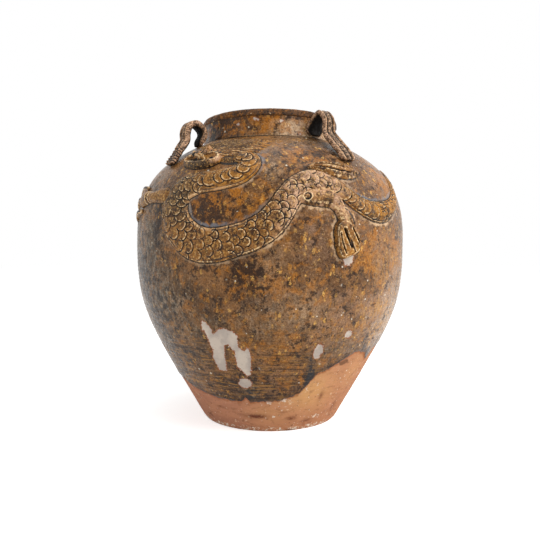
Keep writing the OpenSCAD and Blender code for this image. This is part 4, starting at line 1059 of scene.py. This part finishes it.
def neckEarLine():  # radius, height, width and thickness along the strap
    e = ears
    w, t, top = e["width"], e["thick"], neckZ + e["rise"]
    crestX = jar["lipWidth"] / 2 + e["lipClear"] + t / 2
    loopX = jar["neckWidth"] / 2 + e["reach"]

    def onNeck(up, thick):
        return float(neckRadius(neckZ + up)) + thick / 2

    return [
        [onNeck(2.6, t - 2) - 0.6, neckZ + 2.6, w, t - 2],
        [onNeck(8, t - 1) - 0.4, neckZ + 8, w + e["root"], t - 1],
        [onNeck(e["rise"] / 2, t) + 1, neckZ + e["rise"] / 2, w + e["root"] / 2, t],
        [crestX, top - t - 1.6, w, t], [(crestX + loopX) / 2 - 1.4, top - t / 2, w, t],
        [loopX - 3.4, top - t - 2, w, t], [loopX - 0.6, neckZ + e["rise"] / 2, w, t],
        [loopX + 0.6, neckZ + 2, w, t],
        besideWall(e["drop"] - 27, t / 2 + 4.6) + [w, t]] + tongueLine(t)


def shoulderEarLine():  # the left ear's loop stands on the shoulder, lower and thicker
    e = ears
    w, t = e["width"], e["leftThick"]
    outer = jar["neckWidth"] / 2 + e["leftReach"]
    inner = outer - e["leftSpan"]
    top = neckZ + e["leftRise"] - t / 2

    def to(radius):  # where the shoulder has this radius
        return float(np.interp(radius, wallLine[:380, 0], wallDown[:380]))

    return [
        besideWall(to(inner + 4), 0.6) + [w - 3, t - 2], besideWall(to(inner + 1.6), 4.5) + [w, t - 1],
        [inner - 0.4, top - 11, w, t - 0.5], [inner + 1.6, top - 4.4, w, t],
        [(outer + inner) / 2 - 1, top, w, t],
        [outer - 2.8, top - 4, w, t], [outer, top - 12, w, t], [outer + 1, top - 21, w, t - 0.5],
        besideWall(to(outer + 6), t / 2 + 2.6) + [w + 1, t - 1]] + tongueLine(e["thick"])


def ear(name, turn, strap, seed, wide, notches=0.0, flare=0.0, lean=0.0):
    e = ears
    line = smoothLine(strap, 10)
    run = np.gradient(line[:, :2], axis=0)
    length = np.concatenate([[0], np.cumsum(np.hypot(*np.diff(line[:, :2], axis=0).T))])
    run /= np.hypot(*run.T)[:, None]
    out = np.stack([-run[:, 1], run[:, 0]], 1)
    top, under = np.linspace(-1, 1, 41), np.linspace(1, -1, 19)[1:-1]
    x = np.concatenate([top, under * 0.97])
    # a rolled edge each side, a rib down the middle, and a furrow between them
    furrow = bell(np.abs(top) - 0.42, 0.11)
    rib = bell(np.abs(top) - 0.76, 0.17) + 0.7 * bell(top, 0.2)
    rings = np.zeros((len(line), len(x), 3))
    notes = {key: np.zeros(rings.shape[:2]) for key in ("poolAndShade", "rise", "pink", "olive", "darkGlazeAndShade", "hollowShadow")}
    for i, (rr, zz, width, thick) in enumerate(line):
        fade = smooth(i, 2, 14) * smooth(len(line) - 1 - i, 1, 10)
        lift = thick / 2 * (np.maximum(1 - top ** 6, 0)) ** 0.5
        lift = lift + (0.9 * rib - e["groove"] * furrow) * (0.35 + 0.65 * fade)
        low = -thick / 2 * (np.maximum(1 - under ** 4, 0)) ** 0.5 * 0.95
        fromEnd = length[-1] - length[i]
        notch = notches * smooth(fromEnd, 24, 19) * smooth(fromEnd, 0.5, 2)
        notch = notch * (0.5 - 0.5 * math.cos(2 * math.pi * fromEnd / 3.7))
        spread = smooth(fromEnd, 6, 22) * smooth(fromEnd, 52, 34)
        s = np.concatenate([lift - 1.5 * notch * (0.4 + 0.6 * np.abs(top)), low])
        s[0] = s[40] = 0.2
        rings[i, :, 0] = rr + s * out[i, 0]
        rings[i, :, 1] = x * width * wide / 2 * (1 - 0.05 * notch) * (1 + flare * spread) + lean * spread
        rings[i, :, 2] = zz + s * out[i, 1]
        notes["poolAndShade"][i, :41] = np.maximum(furrow * (0.4 + 0.6 * fade), 0.9 * notch)
        # painted shade and shadow on the strap's underside, darkest along its middle
        notes["poolAndShade"][i, 41:] = 0.2 + 0.8 * smooth(np.abs(under), 0.96, 0.7)
        notes["hollowShadow"][i, 41:] = smooth(np.abs(under), 0.97, 0.85)
        notes["rise"][i, :41] = 0.75 * np.clip(rib, 0, 1) * (1 - notch)
        notes["pink"][i, :41] = 0.9 * smooth(np.abs(top), 0.6, 0.8)
        notes["olive"][i, :41] = smooth(np.abs(top), 0.62, 0.45)
    flat = rings.reshape(-1, 3)
    wobble = 0.35 * softNoise(flat, 7, seed) + 0.5 * softNoise(flat, 20, seed + 1)
    crumble = 0.22 * softNoise(flat, 2.6, seed + 3)
    sway = 0.8 * softNoise(flat, 18, seed + 2)
    flat = flat + np.stack([wobble * 0.6 + crumble, sway + crumble, wobble * 0.5], 1)
    piece = clayTube(name, turnedRound(flat, turn - 90).reshape(rings.shape), notes)
    finishPiece(piece, earGlaze, [name])


for number, side in enumerate(("front", "right", "back")):
    ear("ear_" + side, 90 * number, neckEarLine(), 50 + 7 * number, wide=1.18, flare=0.24, lean=-1.8)
ear("ear_left", 270, shoulderEarLine(), 71, wide=1.2, notches=1.0)
print("ears pulled")


# The dragon's rolled body with its stamped scales
def scaleSpots():
    # rows of stamps along the spine, each stamp a little off its place: azimuth, down, the way it
    # faces, radius, how clear it is and how far it opens
    line = smoothLine(spine, 12)
    run = alongLine(line)
    spots = []
    q, row = 6.0, 0
    while q < run[-1] - 30:
        az, down, width = [np.interp(q, run, line[:, k]) for k in (0, 1, 2)]
        onNeck = q < dragon["neckLength"]
        lanes = 1 if onNeck or width < 21.5 else 2 if width < 28.5 else 3
        ahead = [np.interp(q + 1, run, line[:, k]) for k in (0, 1)]
        behind = [np.interp(q - 1, run, line[:, k]) for k in (0, 1)]
        ux, uy = (ahead[0] - behind[0]) * degreeWidth(down), ahead[1] - behind[1]
        n = math.hypot(ux, uy)
        ux, uy = ux / n, uy / n
        if lanes == 1:
            shares = [0.12]
        elif row % 2:
            shares = [(k + 0.5) / lanes * 2 - 1 for k in range(lanes)]
        else:
            shares = [k / lanes * 2 - 1 for k in range(lanes + 1)]
        for x in shares:
            chance = softNoise([[q * 3, x * 40, row * 7], [q * 2, x * 70, 9], [row * 11, x * 50, q],
                                [x * 60, q * 4, 3]], 5, 77)
            across = (x + 0.15 * chance[1]) * width / 2 * 0.94
            along = 2.6 * chance[2]
            radius = width / lanes * ((0.37 if lanes == 1 else 0.53) + 0.14 * chance[0])
            clear = float(np.clip(0.95 + 0.6 * chance[3], 0.3, 1))
            opening = math.radians((142 if onNeck else 110) + 26 * chance[1])
            spots.append([az - (across * uy - along * ux) / degreeWidth(down),
                          down + across * ux + along * uy, ux, uy, radius, clear, opening])
        if lanes > 1:
            q += dragon["scaleSpacing"] * width + 0.8 * softNoise([[q, 5, 9]], 6, 78)[0]
        else:
            q += 8.8 if onNeck else 0.6 * width
        row += 1
    return spots


def stampScales(azimuths, downs, crown):
    # the crown of the roll with every stamp in it, and the stamps' grooves, raised rims and centres
    height = crown.copy()
    poolAndShade, rise, centre = [np.zeros(crown.shape) for _ in range(3)]
    shaky = 0.35 * wallNoise(azimuths, downs, 4.5, 72)
    for az, down, ux, uy, radius, clear, opening in scaleSpots():
        dx, dy = (azimuths - az) * degreeWidth((downs + down) / 2), downs - down
        gap = np.hypot(dx, dy) + shaky
        close = gap < radius + 3
        turn = np.arctan2(np.abs(dy * ux - dx * uy), dx * ux + dy * uy)
        arc = smooth(turn, opening, opening - 0.4) * close * clear
        groove = bell(gap - radius, 0.46) * arc
        rim = bell(gap - radius + 1.15, 0.5) * arc
        bulge = np.clip(1 - (gap / radius) ** 2, 0, 1) * smooth(turn, math.radians(140), math.radians(70))
        height += close * (0.5 * bulge + dragon["scaleRidge"] * rim) - dragon["scaleGroove"] * groove
        poolAndShade = np.maximum(poolAndShade, groove)
        rise = np.maximum(rise * (1 - 0.9 * groove), rim * 0.9)
        centre = np.maximum(centre, close * bell(gap, radius * 0.5) * (0.5 + 0.5 * clear))
    return crown + np.clip(height - crown, -dragon["scaleGroove"] * 1.15, 1.1), poolAndShade, rise, centre


def dragonBody():
    line = smoothLine(spine, 12)
    run = alongLine(line)
    count, topCount, lowCount = int(run[-1] / dragon["step"]), 57, 6
    q = np.linspace(0.05, run[-1] - 0.05, count)[:, None]
    az, down, width, share = [np.interp(q, run, line[:, k]) for k in range(4)]
    ux = (np.interp(q + 0.8, run, line[:, 0]) - np.interp(q - 0.8, run, line[:, 0])) * degreeWidth(down)
    uy = np.interp(q + 0.8, run, line[:, 1]) - np.interp(q - 0.8, run, line[:, 1])
    n = np.hypot(ux, uy)
    ux, uy = ux / n, uy / n
    v = np.linspace(-1, 1, topCount)
    x = np.sign(v) * np.minimum(np.abs(v) / 0.93, 1)
    edgeFall = smooth(np.abs(v), 0.925, 0.99)
    side = x * width / 2 + np.sign(v) * edgeFall * 0.5
    azimuths = az - side * uy / degreeWidth(down)
    downs = down + side * ux
    crown = dragon["edge"] + (dragon["relief"] * share - dragon["edge"]) * (1 - np.abs(x) ** 3.0)
    height, poolAndShade, rise, centre = stampScales(azimuths, downs, crown)
    body = smooth(1 - np.abs(x), 0.0, 0.12) * smooth(q, 0, 6)
    height = crown + (height - crown) * (0.35 + 0.65 * body) * np.clip(share * 1.2, 0, 1)
    # a narrow rolled rim along each side, with a cut inside it
    rim = bell(np.abs(x) - 0.94, 0.035)
    cut = bell(np.abs(x) - 0.85, 0.035) * (0.4 + 0.6 * smooth(wallNoise(azimuths, downs, 16, 71), -0.3, 0.3))
    height += (0.45 * rim - 0.5 * cut) * smooth(share, 0.3, 0.8)
    curl = np.hypot((azimuths + 22) * degreeWidth(downs), downs - 124)
    innerRim = smooth(np.abs(x), 0.78, 0.9) * smooth(curl, 48, 36)
    rise = np.maximum(rise, rim * (0.35 + 0.6 * smooth(wallNoise(azimuths, downs, 13, 73), -0.4, 0.3)))
    # painted shade where the body's edge falls into the wall
    poolAndShade = np.maximum(np.maximum(poolAndShade, 0.7 * cut), edgeFall)
    ends = smooth(q, -0.5, 3) * smooth(run[-1] - q, -0.5, 2)
    height = height * ends * (1 - edgeFall) - 1.3 * edgeFall - 1.2 * (1 - ends)
    sideLow = np.linspace(1, -1, lowCount + 2)[1:-1] * (width / 2 + 0.4)
    low = onWall(az - sideLow * uy / degreeWidth(down), down + sideLow * ux, -2.2)
    rings = np.concatenate([onWall(azimuths, downs, height), low], 1)
    # painted shade along one side of the body near its right and left ends
    shaded = 0.9 * smooth(azimuths, 34, 42) * smooth(side, 1.5, 6)
    shaded = shaded + 0.6 * smooth(azimuths, -30, -36) * smooth(side, -2, -10)
    notes = {"poolAndShade": poolAndShade, "rise": rise, "darkGlazeAndShade": np.maximum(0.8 * centre, shaded), "cream": innerRim,
             "olive": smooth(azimuths, -24, -33) * smooth(downs, 150, 110) * (1 - innerRim),
             "pink": 0.85 * smooth(azimuths, -2, 8) * smooth(azimuths, 30, 22),
             "tan": smooth(azimuths, 28, 44)
             + 0.6 * smooth(azimuths, -36, -16) * smooth(downs, 104, 92) * smooth(azimuths, 0, -8)}
    for key in notes:  # the hidden underside is all dark glaze
        notes[key] = np.concatenate([notes[key], np.full((count, lowCount), float(key == "poolAndShade"))], 1)
    return clayTube("front_dragon_coil", rings, notes)


def placeDragonPiece(piece, nodes):
    back = copyTurned(piece, piece.name.replace("front", "back"), 180)
    finishPiece(piece, dragonGlaze, ["front_dragon_" + n for n in nodes])
    finishPiece(back, dragonGlaze, ["back_dragon_" + n for n in nodes])


placeDragonPiece(dragonBody(), ["body", "tail"])
print("dragon bodies rolled")


def noNotes(a):
    return {key: np.zeros(a.shape) for key in ("poolAndShade", "rise", "olive", "pink", "tan", "darkGlazeAndShade", "cream")}


def mark(notes, key, values):
    notes[key] = np.maximum(notes[key], values)


def well(gap, reach):  # like a bell, with a flatter top and steeper sides
    return np.exp(-(gap / reach) ** 4)


def hugEdge(notes, height):  # painted shade where the clay meets the wall
    mark(notes, "poolAndShade", smooth(height, 1.1, 0.2))


def headShape(az, down):
    n = noNotes(az)
    skull = rolled(az, down, headRolls["skull"], 2.0, 3)[0]
    jaw = rolled(az, down, headRolls["jaw"], 2.0, 2.6)[0]
    brow = rolled(az, down, headRolls["brow"], 2.0, 2.4)[0]
    h = joined(skull, np.maximum(jaw, brow), 0.3)
    for a, d, size in hollows:
        gap = np.hypot((az - a) * 1.95 / 1.5, down - d)
        h = np.where(h > 0, h - 4.0 * well(gap, size), h)
        mark(n, "poolAndShade", well(gap, size * 0.95))
        mark(n, "rise", 0.8 * bell(gap - size * 1.35, 0.7))
    # the eye, a small pellet deep in the curl of the snout
    gap = fromSpot(az, down, eyeAt)
    h = np.where(gap < 5, h - 2.6 * well(gap, 3.0), h)
    mark(n, "poolAndShade", well(gap, 2.9) * (1 - well(gap, 1.1)))
    for a, d, size, up in headLumps:
        gap = fromSpot(az, down, (a, d))
        lump = up * np.sqrt(np.clip(1 - (gap / size) ** 2, 0, 1))
        h = h + lump * (h > 0)
        mark(n, "poolAndShade", bell(gap - size - 0.3, 0.7) * (h > 1) * (down < 58))
    gap = fromSpot(az, down, hornAt)  # pierced knob on the brow
    knob = 4.5 + 5.4 * smooth(gap, 3.7, 1.8) - 3.5 * smooth(gap, 1.5, 0.8)
    h = np.where(gap < 3.7, np.maximum(knob, h * (gap > 3)), h)
    n["poolAndShade"] = np.maximum(n["poolAndShade"] * (gap > 3.2), smooth(gap, 1.6, 0.9))
    chip = fromSpot(az, down, headChip)
    h = h + 1.6 * smooth(chip, 2.6, 1.9) * (h > 0)
    n["olive"] = smooth(down, 64.5, 67) * smooth(az, -24.5, -27.5)
    pink = 0.95 * np.maximum(smooth(down, 59, 53), smooth(az, -26.2, -24)) * smooth(az, -41, -38.5)
    n["pink"] = pink * smooth(h, 2.0, 3.6) * (0.45 + 0.55 * smooth(wallNoise(az, down, 4, 60), -0.5, 0.5))
    n["tan"] = 0.4 * smooth(down, 66, 58)
    mark(n, "rise", 0.6 * smooth(brow, 5.2, 6.0) + 0.6 * smooth(jaw, 5.4, 6.2) * smooth(down, 70, 68.5))
    mark(n, "rise", 2.0 * smooth(chip, 2.6, 1.8))
    # painted shadow on the underside of the jaw roll, and the olive bar darker
    n["darkGlazeAndShade"] = np.maximum(0.9 * smooth(down, 68.5, 72.5), 0.5 * n["olive"])
    hugEdge(n, h)
    rough = 0.4 * wallNoise(az, down, 3.2, 61) + 0.5 * wallNoise(az, down, 1.8, 64) * smooth(down, 60, 54)
    return h + rough * (h > 0.5), n


def maneShape(az, down):
    n = noNotes(az)
    inside = insidePatch(az, down, maneOutline)
    h = np.where(inside > 0, 0.35 + 2.3 * smooth(inside, 0, 7), 0.35 + inside * 3)
    # combed strands fan out from the back of the head
    dx, dy = (az + 47) * 1.85, down - 54
    reach = np.hypot(dx, dy)
    angle = np.degrees(np.arctan2(dy, dx)) + 3.2 * np.sin(reach / 15) + 3.6 * wallNoise(az, down, 12, 66)
    comb = np.sin(2 * np.pi * angle / 3.3)
    cut = smooth(-comb, 0.15, 0.95) * smooth(reach, 20, 32) * smooth(angle, 4, 1)
    cut = cut * (0.35 + 0.65 * smooth(wallNoise(az, down, 7, 59), -0.6, 0.2))
    gap = fromLine(az, down, maneRoll)[0]
    crease = bell(gap - 2.6, 0.6)
    h = np.where(h > 0.2, h - 0.95 * cut - 0.6 * crease + 1.1 * bell(gap, 1.5), h)
    n["poolAndShade"] = np.maximum(0.75 * cut, 0.7 * crease)
    worn = smooth(wallNoise(az, down, 8, 65), -0.5, 0.4)
    strands = 0.5 * smooth(comb, 0.6, 0.95) * smooth(reach, 20, 32)
    n["rise"] = np.maximum(strands, 0.7 * bell(gap, 0.9)) * (0.3 + 0.7 * worn)
    n["olive"] = 0.7 * smooth(down, 58, 40) * smooth(az, -4, -14)
    n["tan"] = 0.35 * smooth(az, -10, -4)
    n["darkGlazeAndShade"] = np.maximum(0.95 * smooth(down, 60, 63), 0.35 * smooth(down, 60, 40) * smooth(az, 0, -12))
    mark(n, "poolAndShade", well(fromLine(az, down, maneTip)[0], 1.5))
    hugEdge(n, np.where(down > 55, h, 9))
    return h, n


def forelegShape(az, down):
    n = noNotes(az)
    h = rolled(az, down, foreleg, 1.6, 2.6)[0]
    # two bands round the wrist
    width = degreeWidth(down)
    band = np.maximum(bell((az + 54.2) * width, 1.0), bell((az + 56.8) * width, 1.0))
    between = bell((az + 55.5) * width, 0.8)
    h = h + (0.9 * band - 0.6 * between) * (h > 0)
    n["rise"] = band
    n["poolAndShade"] = between * 0.8
    for claw in foreclaws:
        c = rolled(az, down, claw, 1.2, 2)[0]
        slitGap = fromLine(az, down, [p[:2] for p in claw], 4)[0]
        c = c - 1.8 * bell(slitGap, 0.75) * (c > 1)
        mark(n, "poolAndShade", bell(slitGap, 0.8) * (c > h - 1))
        mark(n, "rise", 0.8 * bell(slitGap - 1.7, 0.6) * (c > h - 1))
        h = joined(h, c, 0.5)
    n["olive"] = np.full(az.shape, 0.5)
    hugEdge(n, h)
    return h + 0.2 * wallNoise(az, down, 5, 62), n


def hindlegShape(az, down):
    n = noNotes(az)
    leg = rolled(az, down, hindleg, 1.8, 2.6)[0]
    inside = insidePatch(az, down, footOutline)
    rounded = np.sqrt(np.clip(1 - (1 - np.clip(inside / 2.6, 0, 1)) ** 2, 0, 1))
    pad = np.where(inside > 0, 1.2 + 4.9 * rounded, 1.2 + inside * 3.2)
    for toe in toes:
        knuckle = rolled(az, down, toe, 1.2, 2.0)[0] + 0.6
        pad = np.where(inside > 0.6, np.maximum(pad, knuckle), pad)
    h = joined(leg, pad, 0.5)
    n["rise"] = 0.8 * bell(inside - 1.7, 0.55)
    for line, width, depth in footSlots:
        gap = fromLine(az, down, line)[0]
        slot = bell(gap, width)
        h = np.where(h > 0.5, np.maximum(h - depth * slot, 0.8), h)
        mark(n, "poolAndShade", smooth(slot, 0.25, 0.7))
        n["rise"] = np.maximum(n["rise"] * (1 - slot), 0.85 * bell(gap - width * 2.0, 0.55) * (inside > 0))
    # leaf-shaped spur with a raised rim
    leaf, across = rolled(az, down, spur, 1.0, 2)
    x = np.abs(across)
    leaf = leaf + 0.9 * bell(x - 0.78, 0.16) - bell(x, 0.3)
    over = leaf > h - 0.6
    n["rise"] = np.where(over & (x < 1), bell(x - 0.8, 0.2), n["rise"])
    n["poolAndShade"] = np.where(over & (x < 1.25), np.maximum(0.6 * bell(x, 0.25), bell(x - 1.12, 0.1)), n["poolAndShade"])
    h = np.maximum(h, leaf)
    # ring pressed at the hip
    gap = fromSpot(az, down, hipRingAt)
    h = h + 0.8 * bell(gap - 4.2, 0.7) - 0.9 * bell(gap - 2.9, 0.6)
    mark(n, "poolAndShade", 0.9 * bell(gap - 2.9, 0.7) * (az > 12.2))
    mark(n, "rise", bell(gap - 4.2, 0.7) * (h > 1))
    mark(n, "rise", 0.45 * smooth(h, 3.4, 4.4) * smooth(h, 6.2, 5.2) * (down < 132))
    spotty = smooth(wallNoise(az, down, 9, 58), 0.0, 0.7)
    n["pink"] = 0.65 * smooth(down, 150, 128) * (1 - 0.9 * spotty)
    n["tan"] = 0.45 * smooth(down, 128, 146)
    # dark patches on the thigh, and a painted shadow band down the foot's left edge
    n["darkGlazeAndShade"] = 0.7 * bell(fromLine(az, down, [[15.5, 116], [19.5, 115.6]], 3)[0], 2.6) \
        + 0.6 * bell(fromSpot(az, down, (23.6, 115)), 2.6) \
        + 0.7 * bell(fromSpot(az, down, (25.4, 137.5)), 3) \
        + 0.8 * smooth(inside, -1, 1.4) * smooth(inside, 4.6, 2.4) * smooth(az, 25.6, 24.2)
    mark(n, "darkGlazeAndShade", 0.75 * spotty * smooth(down, 140, 126))
    hugEdge(n, h)
    return h + 0.25 * wallNoise(az, down, 5, 63) * (h > 0.5), n


def farPawShape(az, down):
    n = noNotes(az)
    h, x = rolled(az, down, farPaw, 1.4, 2.6)
    cut = bell(x + 0.32, 0.09) + bell(x - 0.28, 0.09)
    cut = np.minimum(cut * smooth(az, 16.5, 19) * smooth(az, 34.6, 33), 1)
    crumbs = smooth(wallNoise(az, down, 3.0, 67), 0.05, 0.4) * smooth(az, 27, 30.5)
    ragged = 2.4 * np.abs(wallNoise(az, down, 6.5, 64)) * smooth(az, 29, 34)
    h = np.where(h > 0.8, h - 2.6 * cut + 1.0 * crumbs - ragged, h)
    n["poolAndShade"] = smooth(cut, 0.3, 0.75)
    lip = bell(np.abs(x) - 0.86, 0.1)
    lip = lip + bell(np.abs(x + 0.02) - 0.52, 0.06) + bell(np.abs(x + 0.02) - 0.08, 0.06)
    n["rise"] = np.clip(0.75 * lip, 0, 1) * (1 - cut) * smooth(wallNoise(az, down, 6, 69), -0.5, 0.1)
    n["pink"] = 0.8 * crumbs
    n["darkGlazeAndShade"] = 0.9 * bell(np.abs(x) - 0.62, 0.2)
    hugEdge(n, h)
    return h + 0.2 * wallNoise(az, down, 4, 68) * (h > 0.5), n


# name, azimuths, downs, grid step in mm, shape and the parts it covers
sheets = [("mane", (-45, 3), (8, 74), 0.5, maneShape, ["mane"]),
          ("head", (-47, -15), (38, 82), 0.42, headShape, ["head", "jaw", "eye", "horn"]),
          ("foreleg", (-80, -38), (84, 134), 0.6, forelegShape, ["foreleg", "foreclaws"]),
          ("hindleg", (8, 38), (98, 176), 0.45, hindlegShape, ["hindleg", "hindclaws", "spur"]),
          ("far_paw", (12, 40), (60, 94), 0.45, farPawShape, ["far_paw"])]
for name, azimuths, downs, step, shape, nodes in sheets:
    placeDragonPiece(claySheet("front_dragon_" + name + "_relief", azimuths, downs, step, shape), nodes)
print("dragons applied")

# Floor, lamps and world
studio = {"keyPower": 26, "fillPower": 6, "topPower": 7, "ambient": 0.5, "floorGlow": 0.58}


def addedUp(tree, a, b):
    n = tree.nodes.new("ShaderNodeMath")
    n.operation = "ADD"
    tree.links.new(a, n.inputs[0])
    tree.links.new(b, n.inputs[1])
    return n


onlySelect(None)
bpy.ops.mesh.primitive_plane_add(size=12)
floor = bpy.context.object
floor.name = "floor"
floorFinish = bpy.data.materials.new("paleFloor")
floorFinish.use_nodes = True
tree = floorFinish.node_tree
tree.nodes.clear()
out = tree.nodes.new("ShaderNodeOutputMaterial")
pale = tree.nodes.new("ShaderNodeBsdfDiffuse")
pale.inputs["Color"].default_value = (0.86, 0.86, 0.86, 1)
glow = tree.nodes.new("ShaderNodeEmission")
path = tree.nodes.new("ShaderNodeLightPath")
seen = addedUp(tree, path.outputs["Is Camera Ray"], path.outputs["Is Glossy Ray"])
strength = tree.nodes.new("ShaderNodeMath")
strength.operation = "MULTIPLY"
strength.inputs[1].default_value = studio["floorGlow"]
tree.links.new(seen.outputs[0], strength.inputs[0])
tree.links.new(strength.outputs[0], glow.inputs["Strength"])
both = tree.nodes.new("ShaderNodeAddShader")
tree.links.new(pale.outputs[0], both.inputs[0])
tree.links.new(glow.outputs[0], both.inputs[1])
tree.links.new(both.outputs[0], out.inputs[0])
floor.data.materials.append(floorFinish)

# The world is white where it is seen or reflected, and dimmer where it lights the jar
world = bpy.data.worlds.new("studio")
bpy.context.scene.world = world
world.use_nodes = True
tree = world.node_tree
background = tree.nodes["Background"]
path = tree.nodes.new("ShaderNodeLightPath")
reflected = addedUp(tree, path.outputs["Is Glossy Ray"], path.outputs["Is Transmission Ray"])
seen = addedUp(tree, path.outputs["Is Camera Ray"], reflected.outputs[0])
seen.use_clamp = True
mix = tree.nodes.new("ShaderNodeMapRange")
tree.links.new(seen.outputs[0], mix.inputs["Value"])
mix.inputs["To Min"].default_value = studio["ambient"]
mix.inputs["To Max"].default_value = 1.0
tree.links.new(mix.outputs["Result"], background.inputs["Strength"])
background.inputs["Color"].default_value = (1, 1, 1, 1)


def softBox(name, place, size, power):
    lamp = bpy.data.lights.new(name, "AREA")
    lamp.shape = "RECTANGLE"
    lamp.size, lamp.size_y = size
    lamp.energy = power
    holder = bpy.data.objects.new(name, lamp)
    holder.location = place
    aim = np.array([0, 0, 0.2]) - np.array(place)
    flat = math.hypot(aim[0], aim[1])
    holder.rotation_euler = (math.atan2(flat, -aim[2]), 0, math.atan2(aim[1], aim[0]) - math.pi / 2)
    bpy.context.scene.collection.objects.link(holder)


def aroundJar(azimuth, distance, height):  # seen from the camera: 90 is to its right
    a = math.radians(azimuth + view["turn"])
    return (distance * math.sin(a), -distance * math.cos(a), height)


softBox("key", aroundJar(62, 1.4, 1.1), (1.2, 1.4), studio["keyPower"])
softBox("fill", aroundJar(-55, 1.6, 0.8), (1.2, 1.4), studio["fillPower"])
softBox("top", (0.0, 0.0, 1.7), (1.2, 1.2), studio["topPower"])
print("studio lit")
